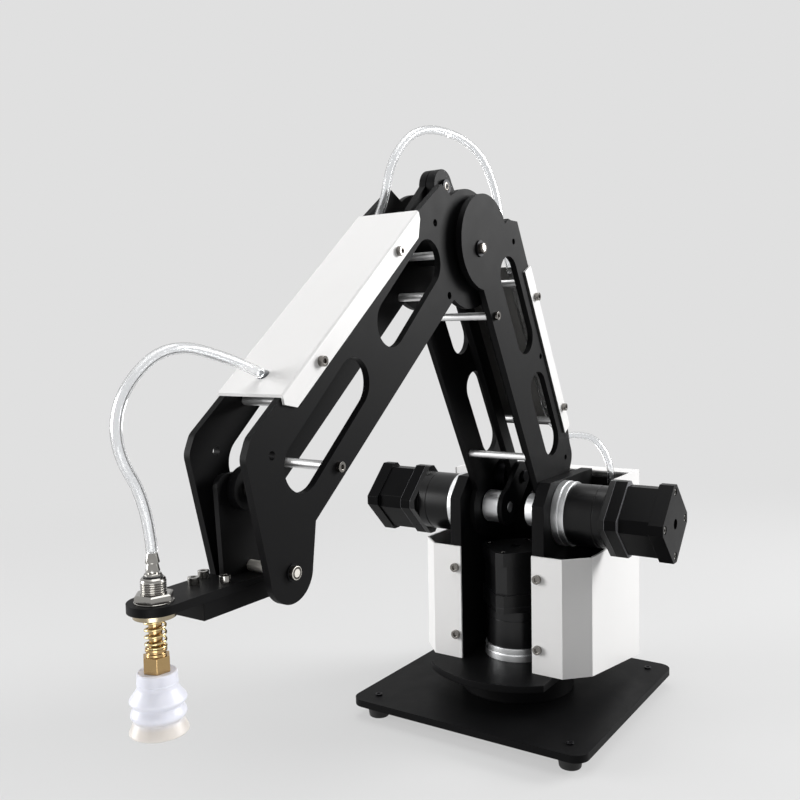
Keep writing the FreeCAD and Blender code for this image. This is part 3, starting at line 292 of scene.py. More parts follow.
@dataclass(frozen=True)
class ClearFinish(Finish):
    """A see-through or milky polymer, drawn or moulded smooth."""

    transmission: float = 0.0
    scatter: float = 0.0
    scatter_mm: float = 3.0
    scatter_reach: Point = (1.0, 0.95, 0.9)
    ior: float = 1.5

    def coated(self) -> Shading:
        """Makes the material with light passing through it, and hands out its parts."""
        material, tree, shader, place = super().coated()
        shader.inputs["Transmission Weight"].default_value = self.transmission
        shader.inputs["IOR"].default_value = self.ior
        shader.inputs["Subsurface Weight"].default_value = self.scatter
        shader.inputs["Subsurface Scale"].default_value = self.scatter_mm * MM
        shader.inputs["Subsurface Radius"].default_value = self.scatter_reach
        return material, tree, shader, place


@dataclass(frozen=True)
class RimmedFinish(ClearFinish):
    """A moulded polymer that turns darker and warmer at its thin lower rim."""

    rim: str = "#D2CCC6"
    rim_mm: float = 4.0
    fade_mm: float = 4.0

    def build(self) -> bpy.types.Material:
        """Builds the polymer, darker and warmer at the foot of the piece."""
        material, tree, shader, place = self.coated()
        parts = add_node(tree, "ShaderNodeSeparateXYZ", links={0: place})
        below = add_node(
            tree,
            "ShaderNodeMapRange",
            {
                "From Min": self.rim_mm * MM,
                "From Max": (self.rim_mm + self.fade_mm) * MM,
                "To Min": 1.0,
                "To Max": 0.0,
            },
            {"Value": parts.outputs[Axis.Z.value]},
        )
        self.cover(tree, shader, below.outputs[0], self.rim)
        return material


@dataclass(frozen=True)
class SeamedFinish(Finish):
    """A housing of stacked castings: thin lines of another colour where they meet. The light grey default is
    a painted highlight on the joints' edges.
    """

    axis: Axis = Axis.Y
    seams_mm: tuple[float, ...] = (78.0, 87.0)
    # Light grey, a painted highlight on the joints' edges.
    seam_colour: str = "#77777A"
    seam_width_mm: float = 0.5

    def build(self) -> bpy.types.Material:
        """Builds the enamel with its seam lines across the axis."""
        material, tree, shader, place = self.coated()
        parts = add_node(tree, "ShaderNodeSeparateXYZ", links={0: place})
        along = add_node(
            tree, "ShaderNodeMath", {"operation": "ABSOLUTE"}, {0: parts.outputs[self.axis.value]}
        ).outputs[0]
        lines = []
        for seam in self.seams_mm:
            settings = {"operation": "COMPARE", 1: seam * MM, 2: self.seam_width_mm * MM / 2}
            lines.append(add_node(tree, "ShaderNodeMath", settings, {0: along}).outputs[0])
        self.cover(tree, shader, largest(tree, lines), self.seam_colour)
        return material


@dataclass(frozen=True)
class InnerShadeFinish(Finish):
    """A coated sheet whose inner side, facing one way, is painted dark grey as shade."""

    inside: Point = (1.0, 0.0, 0.0)
    # Dark grey painted on the inward faces as shade.
    painted_shade: str = "#4B4A48"
    coat_until: float = 0.6
    painted_shade_from: float = 0.8

    def build(self) -> bpy.types.Material:
        """Builds the coat with dark grey painted shade on the faces that look inwards."""
        material, tree, shader, _ = self.coated()
        facing = add_node(tree, "ShaderNodeTexCoord").outputs["Normal"]
        towards = add_node(
            tree, "ShaderNodeVectorMath", {"operation": "DOT_PRODUCT", 1: self.inside}, {0: facing}
        )
        within = add_node(
            tree,
            "ShaderNodeMapRange",
            {"From Min": self.coat_until, "From Max": self.painted_shade_from},
            {"Value": towards.outputs["Value"]},
        )
        # Lays the painted shade over the faces that look inwards.
        self.cover(tree, shader, within.outputs[0], self.painted_shade)
        return material


# Aluminium plate, bead blasted and black anodised: deep black with a soft grey sheen and a fine dry grain.
BLACK_PLATE = Finish(
    "anodised_black_plate", "#09090A", 0.50, specular=0.08, grain_mm=0.7, grain_depth=0.12, mottle=0.16
)
# Steel sheet with white powder coat: bright, even white with a slight orange-peel ripple.
WHITE_SHEET = Finish(
    "white_powder_coat", "#F0EFEE", 0.36, grain_mm=1.6, grain_depth=0.08, mottle=0.012, gloss_change=0.04
)
# The same sheet with dark grey painted shade on its hidden side. That side looks forward and down, into the
# arm.
INNER_SHADE_SHEET = InnerShadeFinish(
    "white_powder_coat_with_painted_inner_shade", "#F0EFEE", 0.36, grain_mm=1.6, grain_depth=0.08, mottle=0.012,
    gloss_change=0.04, inside=(0.8746, 0.0, -0.4848),
)
# Gearbox housings in black stove enamel: darker and glossier than the plates.
MOTOR_ENAMEL = Finish(
    "black_motor_enamel", "#080809", 0.30, specular=0.25, grain_mm=0.9, grain_depth=0.06, mottle=0.10,
    gloss_change=0.06,
)
# Stepper castings in the same enamel, with light grey lines at their joints painted as highlights on the
# joints' edges.
SIDE_MOTOR = SeamedFinish(
    "black_side_motor_enamel_painted_seam_highlights", "#080809", 0.30, specular=0.05, grain_mm=0.9, grain_depth=0.06,
    gloss_change=0.06, seams_mm=(78.0, 87.0),
)
# The upright motor in the same enamel, painted slightly lighter as painted light, with one dull line where
# its gearbox ends.
BASE_MOTOR = SeamedFinish(
    "black_base_motor_enamel_painted_lighter", "#131314", 0.30, specular=0.35, grain_mm=0.9, grain_depth=0.06,
    gloss_change=0.06, axis=Axis.Z, seams_mm=(78.5,), seam_colour="#2C2C2E",
)
# Aluminium turned bright on a lathe: silver with fine rings that draw the highlight out.
TURNED = TurnedFinish("turned_aluminium", "#F0F1F2", 0.40, 1.0, mottle=0.04, gloss_change=0.05)
# Cast flanges turned on the rim only: a little greyer, partly the cast metal's own tone and partly painted
# shade against the lamps' bright reflection, with a sharper highlight.
TURNED_CASTING = TurnedFinish(
    "turned_cast_aluminium_painted_shade", "#DCDDDE", 0.36, 1.0, mottle=0.06, gloss_change=0.05
)
# The bright turning on the upright motor's flange, where the rings lie flat.
TURNED_UPRIGHT = TurnedFinish(
    "turned_aluminium_upright", "#F0F1F2", 0.40, 1.0, axis=Axis.Z, mottle=0.04, gloss_change=0.05
)
# Steel rod, ground: an even satin grey with a soft highlight along it and faint rings.
GROUND_ROD = TurnedFinish(
    "ground_steel_rod", "#DCDCDC", 0.46, 1.0, mottle=0.03, ring_mm=1.2, ring_depth=0.05
)
# Nickel plated steel: bright mirror-like screws, pins and nuts with small handling marks.
NICKEL = Finish(
    "nickel_plated_steel", "#9C9A96", 0.18, 1.0, grain_mm=0.8, grain_depth=0.05, mottle=0.06
)
# Satin sleeve, bead blasted: pale with a soft broad sheen.
SATIN_SLEEVE = Finish(
    "satin_aluminium_sleeve", "#E6E2DA", 0.45, 0.5, grain_mm=0.5, grain_depth=0.06, mottle=0.04
)
# Plain steel bolts, darkened by oil: a warm grey that still mirrors.
OILED_STEEL = Finish("oiled_steel", "#5C5854", 0.24, 1.0, grain_mm=0.6, grain_depth=0.06, mottle=0.12)
# Screw steel, rolled and polished: mirror-like, so its socket looks dark.
SCREW_STEEL = Finish(
    "polished_screw_steel", "#83807C", 0.15, 1.0, grain_mm=0.6, grain_depth=0.05, mottle=0.10
)
# Steel with black oxide: nearly black with a dull metal glint.
BLACK_OXIDE = Finish(
    "black_oxide_steel", "#1B1B1D", 0.38, 1.0, grain_mm=0.6, grain_depth=0.08, mottle=0.1
)
# Brass under thin nickel: a warm grey.
WARM_NICKEL = TurnedFinish(
    "nickel_over_brass", "#A69B85", 0.26, 1.0, axis=Axis.Z, mottle=0.08, gloss_change=0.06
)
# Brass turned from bar, lightly dulled by handling: yellow with a broken highlight.
BRASS = TurnedFinish("turned_brass", "#B2966A", 0.22, 1.0, axis=Axis.Z, mottle=0.10, gloss_change=0.08)
# Drawn spring wire with a yellow plating: small sharp glints on each turn.
SPRING_WIRE = Finish("yellow_plated_wire", "#CDB98A", 0.2, 1.0, grain_mm=0.6, mottle=0.10)
# Natural rubber, moulded: matt black that never mirrors.
FOOT_RUBBER = Finish("moulded_black_rubber", "#131313", 0.72, grain_mm=0.7, grain_depth=0.25)
# Silicone moulded in a polished tool: milky white with a cool cast, warmer at the thin lip.
SILICONE = RimmedFinish(
    "milky_silicone", "#DCDDE6", 0.34, grain_depth=0.03, mottle=0.02, scatter=0.5, scatter_mm=2.5, ior=1.42
)
# Polyurethane hose, extruded: a clear wall around its bore, bright inside with grey edges.
HOSE = ClearFinish(
    "clear_polyurethane_hose", "#FAFBFC", 0.16, grain_depth=0.0, mottle=0.02, transmission=1.0
)
# Nylon fitting, moulded: a dull mid grey.
FITTING = Finish("grey_nylon_fitting", "#8C8E91", 0.45, grain_mm=0.8)


WELD_MM = 0.002
FLAT_DEGREES = 1.0
EDGE_DEGREES = 40.0
EDGE_SEGMENTS = 2


def ease_edges(piece: bpy.types.Object, width_mm: float) -> None:
    """Breaks sharp edges as deburring does, without touching the piece's own mesh.

    Args:
        piece: a mesh object.
        width_mm: width of the broken edge.
    """
    weld = piece.modifiers.new("weld", "WELD")
    weld.merge_threshold = WELD_MM * MM
    flat = piece.modifiers.new("flat_faces", "DECIMATE")
    flat.decimate_type = "DISSOLVE"
    flat.angle_limit = math.radians(FLAT_DEGREES)
    bevel = piece.modifiers.new("broken_edges", "BEVEL")
    bevel.width = width_mm * MM
    bevel.segments = EDGE_SEGMENTS
    bevel.limit_method = "ANGLE"
    bevel.angle_limit = math.radians(EDGE_DEGREES)
    piece.modifiers.new("even_shading", "WEIGHTED_NORMAL")


@dataclass(frozen=True)
class Dressing:
    """Which CAD nodes take a finish, and how far their edges are broken."""

    finish: Finish
    nodes: tuple[str, ...]
    edge_mm: float = 0.35

    def apply(self) -> None:
        """Gives the nodes their material and eased edges."""
        material = self.finish.build()
        for name in self.nodes:
            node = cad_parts[name]
            node.data.materials.clear()
            node.data.materials.append(material)
            if self.edge_mm > 0:
                ease_edges(node, self.edge_mm)
            LOG.info("%s: %s", name, self.finish.name)


PLATES = (
    "base_plate", "base_pedestal", "turret_floor", "turret_plate_near", "turret_plate_far",
    "turret_back_plate", "level_anchor", "lower_arm_plate_near", "lower_arm_plate_far", "crank_plate",
    "push_rod", "level_rod_lower", "elbow_rocker", "level_rod_upper", "forearm_plate_near",
    "forearm_plate_far", "wrist_bracket", "tool_block", "tool_plate",
)
SHEETS = ("turret_cover_near", "turret_cover_far", "turret_rear_cover", "forearm_cover")
COVER_SCREWS = ("turret_cover_screws", "lower_arm_screws", "forearm_screws")

DRESSINGS = (
    Dressing(BLACK_PLATE, PLATES),
    Dressing(WHITE_SHEET, SHEETS, 0.3),
    # The lower arm cover, with painted shade on its inner side.
    Dressing(INNER_SHADE_SHEET, ("lower_arm_cover",), 0.3),
    Dressing(MOTOR_ENAMEL, ("near_gearbox", "far_gearbox"), 0.5),
    Dressing(SIDE_MOTOR, ("near_motor", "far_motor"), 0.5),
    Dressing(BASE_MOTOR, ("base_motor", "base_gearbox"), 0.5),
    Dressing(TURNED, ("shoulder_hub", "crank_hub"), 0.3),
    Dressing(TURNED_CASTING, ("near_output_flange", "far_output_flange"), 0.3),
    Dressing(TURNED_UPRIGHT, ("base_output_flange",), 0.3),
    Dressing(GROUND_ROD, ("lower_arm_spacers", "forearm_spacers"), 0.2),
    Dressing(SATIN_SLEEVE, ("wrist_shaft",), 0.2),
    Dressing(NICKEL, ("tool_screws", "elbow_shaft", "wrist_level_pin"), 0.25),
    Dressing(SCREW_STEEL, COVER_SCREWS, 0.25),
    Dressing(BLACK_OXIDE, ("foot_screws", "crank_pin", "push_rod_pin"), 0.25),
    Dressing(FOOT_RUBBER, ("rubber_feet",), 0.8),
    Dressing(BRASS, ("suction_stem",), 0.3),
    Dressing(HOSE, ("hose_lower_run", "hose_forearm_run"), 0.0),
    Dressing(FITTING, ("turret_hose_elbow", "forearm_hose_elbow"), 0.3),
)


def evaluated_mesh(piece: bpy.types.Object) -> bpy.types.Mesh:
    """Makes the mesh that an object's curve or modifiers come to.

    Args:
        piece: a linked object.

    Returns:
        A mesh of its own.
    """
    bpy.context.view_layer.update()
    graph = bpy.context.evaluated_depsgraph_get()
    return bpy.data.meshes.new_from_object(piece.evaluated_get(graph))


@dataclass(frozen=True)
class Hose:
    """A free length of air hose on one smooth line between two bodies."""

    node: str
    route_mm: tuple[Point, ...]
    bodies: tuple[str, str]
    radius_mm: float = 2.6
    wall_mm: float = 1.0
    line_steps: int = 10
    line_order: int = 3
    roundness: int = 5
    rim_degrees: float = 40.0

    def spline(self) -> bpy.types.Object:
        """Makes the route's smooth line, with no thickness yet."""
        curve = bpy.data.curves.new(self.node + "_line", "CURVE")
        curve.dimensions = "3D"
        curve.resolution_u = self.line_steps
        line = curve.splines.new("NURBS")
        line.points.add(len(self.route_mm) - 1)
        for point, spot in zip(line.points, self.route_mm):
            point.co = (*[value * MM for value in spot], 1.0)
        line.order_u = self.line_order
        line.use_endpoint_u = True
        made = bpy.data.objects.new(self.node + "_line", curve)
        bpy.context.scene.collection.objects.link(made)
        return made

    def hollow(self, skin: bpy.types.Mesh) -> bpy.types.Mesh:
        """Gives the tube's outer skin its wall and bore.

        Args:
            skin: the open outer skin.

        Returns:
            The closed wall with its bore and both rims.
        """
        shell = bpy.data.objects.new(self.node + "_skin", skin)
        bpy.context.scene.collection.objects.link(shell)
        wall = shell.modifiers.new("wall", "SOLIDIFY")
        wall.thickness = self.wall_mm * MM
        wall.offset = -1.0
        mesh = evaluated_mesh(shell)
        bpy.data.objects.remove(shell)
        return mesh

    def build(self, material: bpy.types.Material) -> bpy.types.Object:
        """Args:
            material: the hose's material.

        Returns:
            The hose as a mesh.
        """
        line = self.spline()
        path = [tuple(vertex.co) for vertex in evaluated_mesh(line).vertices]
        line.data.bevel_depth = self.radius_mm * MM
        line.data.bevel_resolution = self.roundness
        mesh = self.hollow(evaluated_mesh(line))
        bpy.data.objects.remove(line)
        mesh.materials.clear()
        mesh.materials.append(material)
        mesh.shade_smooth()
        mesh.set_sharp_from_angle(angle=math.radians(self.rim_degrees))
        hose = bpy.data.objects.new("air_" + self.node, mesh)
        bpy.context.scene.collection.objects.link(hose)
        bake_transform(hose)
        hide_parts(self.node)
        return hose


HOSES = (
    Hose(
        "hose_tool_loop",
        (
            (271.03, 0.0, 262.23),
            (291.43, -0.5, 270.47),
            (327.03, -2.2, 278.63),
            (352.53, -3.6, 259.13),
            (356.03, -4.3, 235.29),
            (339.33, -4.8, 209.29),
            (338.03, -4.8, 187.99),
        ),
        ("forearm", "wrist"),
    ),
    Hose(
        "hose_elbow_rear",
        (
            (32.51, 15.0, 319.88),
            (45.11, 15.0, 342.62),
            (49.31, 12.5, 377.57),
            (70.31, 8.0, 402.87),
            (95.31, 4.0, 404.87),
        ),
        ("lower_arm", "elbow_rocker"),
    ),
    Hose(
        "hose_elbow_front",
        (
            (95.31, 4.0, 404.87),
            (120.31, 0.0, 406.87),
            (146.51, -5.5, 384.07),
            (149.28, -10.0, 351.68),
            (162.55, -10.0, 341.05),
        ),
        ("elbow_rocker", "forearm"),
    ),
    Hose(
        "hose_base_loop",
        (
            (-21.76, 15.0, 221.98),
            (-35.33, 15.0, 197.49),
            (-52.66, 38.0, 199.08),
            (-55.5, 50.5, 183.5),
            (-53.8, 54.8, 163.5),
            (-51.5, 53.5, 144.5),
        ),
        ("lower_arm", "turret"),
    ),
)


RING_STEPS = 60
FINE_STEPS = 72
CUP_STEPS = 96
CREASE_DEGREES = 32.0


def ring_mesh(
    name: str, sections: list[Section], closed: bool = False, steps: int = RING_STEPS
) -> bpy.types.Mesh:
    """Skins a stack of round or many-sided sections along Z.

    Args:
        name: the mesh's name.
        sections: height and radius in millimetres with the number of sides, 0 for round. A radius of a
            many-sided section reaches the middle of its sides, and a radius of zero closes the stack.
        closed: joins the last section to the first, for a piece with a bore.
        steps: vertices in one section.

    Returns:
        The mesh, smooth but for its sharp edges.
    """
    points: list[Point] = []
    rings: list[list[int]] = []
    for height, radius, sides in sections:
        first = len(points)
        if radius == 0:
            points.append((0.0, 0.0, height * MM))
            rings.append([first] * steps)
            continue
        for step in range(steps):
            angle = 2 * math.pi * step / steps
            reach = radius
            if sides:
                part = 2 * math.pi / sides
                reach = radius / math.cos((angle % part) - part / 2)
            points.append((reach * math.cos(angle) * MM, reach * math.sin(angle) * MM, height * MM))
        rings.append(list(range(first, first + steps)))
    pairs = list(zip(rings, rings[1:]))
    if closed:
        pairs.append((rings[-1], rings[0]))
    faces = []
    for low, high in pairs:
        for step in range(steps):
            after = (step + 1) % steps
            corners = [low[step], low[after], high[after], high[step]]
            faces.append(list(dict.fromkeys(corners)))
    mesh = bpy.data.meshes.new(name)
    mesh.from_pydata(points, [], faces)
    mesh.validate()
    mesh.shade_smooth()
    mesh.set_sharp_from_angle(angle=math.radians(CREASE_DEGREES))
    return mesh


def add_piece(
    name: str,
    mesh: bpy.types.Mesh,
    finish: bpy.types.Material,
    body: str,
    place: Point,
    axis: Point,
) -> bpy.types.Object:
    """Sets a piece on the model and lets it ride on a body.

    Args:
        name: the piece's name.
        mesh: its mesh, standing along Z from the origin.
        finish: its material.
        body: the body it rides on.
        place: where its origin goes, in millimetres.
        axis: the direction its Z turns to.

    Returns:
        The new object.
    """
    mesh.materials.clear()
    mesh.materials.append(finish)
    piece = bpy.data.objects.new(name, mesh)
    turn = Vector((0, 0, 1)).rotation_difference(Vector(axis))
    piece.matrix_world = Matrix.Translation([value * MM for value in place]) @ turn.to_matrix().to_4x4()
    bpy.context.scene.collection.objects.link(piece)
    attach(piece, body)
    LOG.info("%s rides on %s", name, body)
    return piece


@dataclass(frozen=True)
class Washer:
    """A flat washer with eased rims, in millimetres."""

    radius: float
    bore: float
    height: float
    ease: float = 0.2

    def mesh(self, name: str) -> bpy.types.Mesh:
        """Makes the washer, lying on its seat."""
        ease = min(self.ease, self.height / 3)
        sections = [
            (0.0, self.bore, ROUND),
            (0.0, self.radius - ease, ROUND),
            (ease, self.radius, ROUND),
            (self.height - ease, self.radius, ROUND),
            (self.height, self.radius - ease, ROUND),
            (self.height, self.bore, ROUND),
        ]
        return ring_mesh(name, sections, closed=True)


@dataclass(frozen=True)
class SocketHead:
    """A cylinder head with a hexagon socket and a broken upper edge, in millimetres.

    The shares are parts of the radius, the broken edge, the key or the height.
    """

    radius: float
    height: float
    edge_share: float = 0.14
    corner_share: float = 0.35
    key_share: float = 0.5
    mouth_share: float = 1.18
    lead_share: float = 1.1
    mouth_depth: float = 0.12
    lead_depth: float = 0.15
    floor_share: float = 0.12
    peak_share: float = 0.38

    def mesh(self, name: str) -> bpy.types.Mesh:
        """Makes the head, standing on its seat."""
        top = self.height
        edge = self.radius * self.edge_share
        corner = edge * self.corner_share
        key = self.radius * self.key_share
        sections = [
            (0.0, 0.0, ROUND),
            (0.0, self.radius, ROUND),
            (top - edge, self.radius, ROUND),
            (top - corner, self.radius - corner, ROUND),
            (top, self.radius - edge, ROUND),
            (top, key * self.mouth_share, ROUND),
            (top - self.mouth_depth, key * self.lead_share, HEXAGON),
            (top - self.lead_depth, key, HEXAGON),
            (top * self.floor_share, key, HEXAGON),
            (top * self.peak_share, 0.0, ROUND),
        ]
        return ring_mesh(name, sections)


@dataclass(frozen=True)
class MotorFace:
    """The end face of one motor: its centre in millimetres and the way it looks."""

    motor: str
    centre: Point
    out: Point


@dataclass(frozen=True)
class MotorEnds:
    """Screws sunk in the end faces of the three motors."""

    faces: tuple[MotorFace, ...] = (
        MotorFace("near", (-2.5, 118.5, 147.2), (0.0, 1.0, 0.0)),
        MotorFace("far", (-2.5, -118.5, 147.2), (0.0, -1.0, 0.0)),
        MotorFace("base", (0.0, 0.0, 119.0), (0.0, 0.0, 1.0)),
    )
    spread_mm: float = 21.9
    screw_mm: float = 2.5
    sink_mm: float = 3.0
    below_mm: float = 0.35

    def build(self, nickel: bpy.types.Material) -> None:
        """Sets four screws into each end face."""
        head = SocketHead(self.screw_mm, self.sink_mm - self.below_mm)
        for face in self.faces:
            normal = Vector(face.out)
            side = Vector((1.0, 0.0, 0.0))
            across = normal.cross(side)
            floor = Vector(face.centre) - normal * self.sink_mm
            for number, way in enumerate((side, -side, across, -across)):
                name = f"{face.motor}_motor_screw_{number + 1}"
                spot = tuple(floor + way * self.spread_mm)
                add_piece(name, head.mesh(name), nickel, "turret", spot, face.out)


@dataclass(frozen=True)
class BoltSize:
    """A bolt's washer and head, in millimetres from the seat."""

    washer_radius: float
    washer_height: float
    head_radius: float
    head_height: float


@dataclass(frozen=True)
class PivotBolts:
    """Socket bolts on dark washers over the ends of the elbow, wrist and levelling pivots."""

    elbow: Point = (99.31, 27.5, 330.87)
    wrist: Point = (274.83, 20.0, 167.19)
    level_elbow: Point = (103.31, 4.5, 370.37)
    elbow_size: BoltSize = BoltSize(5.15, 1.05, 3.4, 3.65)
    wrist_size: BoltSize = BoltSize(4.2, 0.85, 3.45, 3.05)
    level_size: BoltSize = BoltSize(4.6, 2.65, 3.0, 2.75)
    washer_lap: float = 0.1

    def bolt(
        self,
        name: str,
        body: str,
        seat: Point,
        sign: float,
        size: BoltSize,
        metals: tuple[bpy.types.Material, bpy.types.Material],
    ) -> None:
        """Sets one bolt and its washer.

        Args:
            name: the bolt's name.
            body: the body it rides on.
            seat: the near side's seat in millimetres.
            sign: 1 for the near side, -1 for the far side.
            size: the washer's and the head's size.
            metals: the bolt's and the washer's material.
        """
        out = (0.0, sign, 0.0)
        spot = (seat[0], seat[1] * sign, seat[2])
        steel, oxide = metals
        head = SocketHead(size.head_radius, size.head_height)
        add_piece(name, head.mesh(name), steel, body, spot, out)
        ring = Washer(size.washer_radius, size.head_radius - self.washer_lap, size.washer_height)
        add_piece(name + "_washer", ring.mesh(name + "_washer"), oxide, body, spot, out)

    def build(self, steel: bpy.types.Material, oxide: bpy.types.Material) -> None:
        """Sets the bolts on both sides of the arm, and the levelling pivot's on the near side."""
        metals = (steel, oxide)
        for side, sign in (("near", 1.0), ("far", -1.0)):
            self.bolt(f"elbow_bolt_{side}", "lower_arm", self.elbow, sign, self.elbow_size, metals)
            self.bolt(f"wrist_bolt_{side}", "forearm", self.wrist, sign, self.wrist_size, metals)
        self.bolt("level_bolt", "elbow_rocker", self.level_elbow, 1.0, self.level_size, metals)


# The thread's upper end: heights from the barrel's top and radii from the thread's crest.
THREAD_END: Profile = ((-0.9, -0.55), (-0.7, -0.2), (0.0, -0.9))
# The neck with its two barbs and the bore through it: heights from the barrel's top, and radii.
BARBED_NECK: Profile = (
    (0.0, 4.0), (0.3, 4.0), (1.5, 3.8), (1.8, 3.5), (1.8, 2.4), (2.6, 2.4), (2.7, 3.15), (3.1, 3.15),
    (6.3, 2.4), (6.4, 3.15), (6.8, 3.15), (10.5, 2.35), (10.6, 1.2), (-2.0, 1.2), (-2.0, 3.3),
)
# The rubber seal under the neck.
SEAL: Profile = ((0.0, 3.2), (0.0, 4.0), (0.4, 4.25), (0.8, 4.0), (0.8, 3.2))
# The bellows cup, in shares of its height and of its lip's radius: outside upwards, inside downwards.
CUP: Profile = (
    (0.0, 0.93), (0.0, 0.985), (0.01, 1.0), (0.022, 1.0), (0.035, 0.99), (0.17, 0.865), (0.2, 0.835),
    (0.212, 0.826), (0.224, 0.828), (0.236, 0.846), (0.26, 0.905), (0.28, 0.932), (0.305, 0.942),
    (0.335, 0.936), (0.38, 0.895), (0.42, 0.84), (0.436, 0.822), (0.45, 0.818), (0.464, 0.828),
    (0.51, 0.935), (0.526, 0.956), (0.54, 0.963), (0.555, 0.96), (0.572, 0.945), (0.71, 0.73),
    (0.735, 0.70), (0.75, 0.693), (0.795, 0.69), (0.80, 0.703), (0.822, 0.703), (0.828, 0.688),
    (0.96, 0.683), (0.985, 0.672), (1.0, 0.64), (1.0, 0.24), (0.745, 0.24), (0.73, 0.56), (0.65, 0.70),
    (0.55, 0.82), (0.47, 0.71), (0.40, 0.78), (0.30, 0.81), (0.25, 0.77), (0.2, 0.74), (0.1, 0.84),
)


@dataclass(frozen=True)
class ToolMaterials:
    """The materials of the suction tool's pieces."""

    nickel: bpy.types.Material
    warm: bpy.types.Material
    silicone: bpy.types.Material
    rubber: bpy.types.Material
    wire: bpy.types.Material


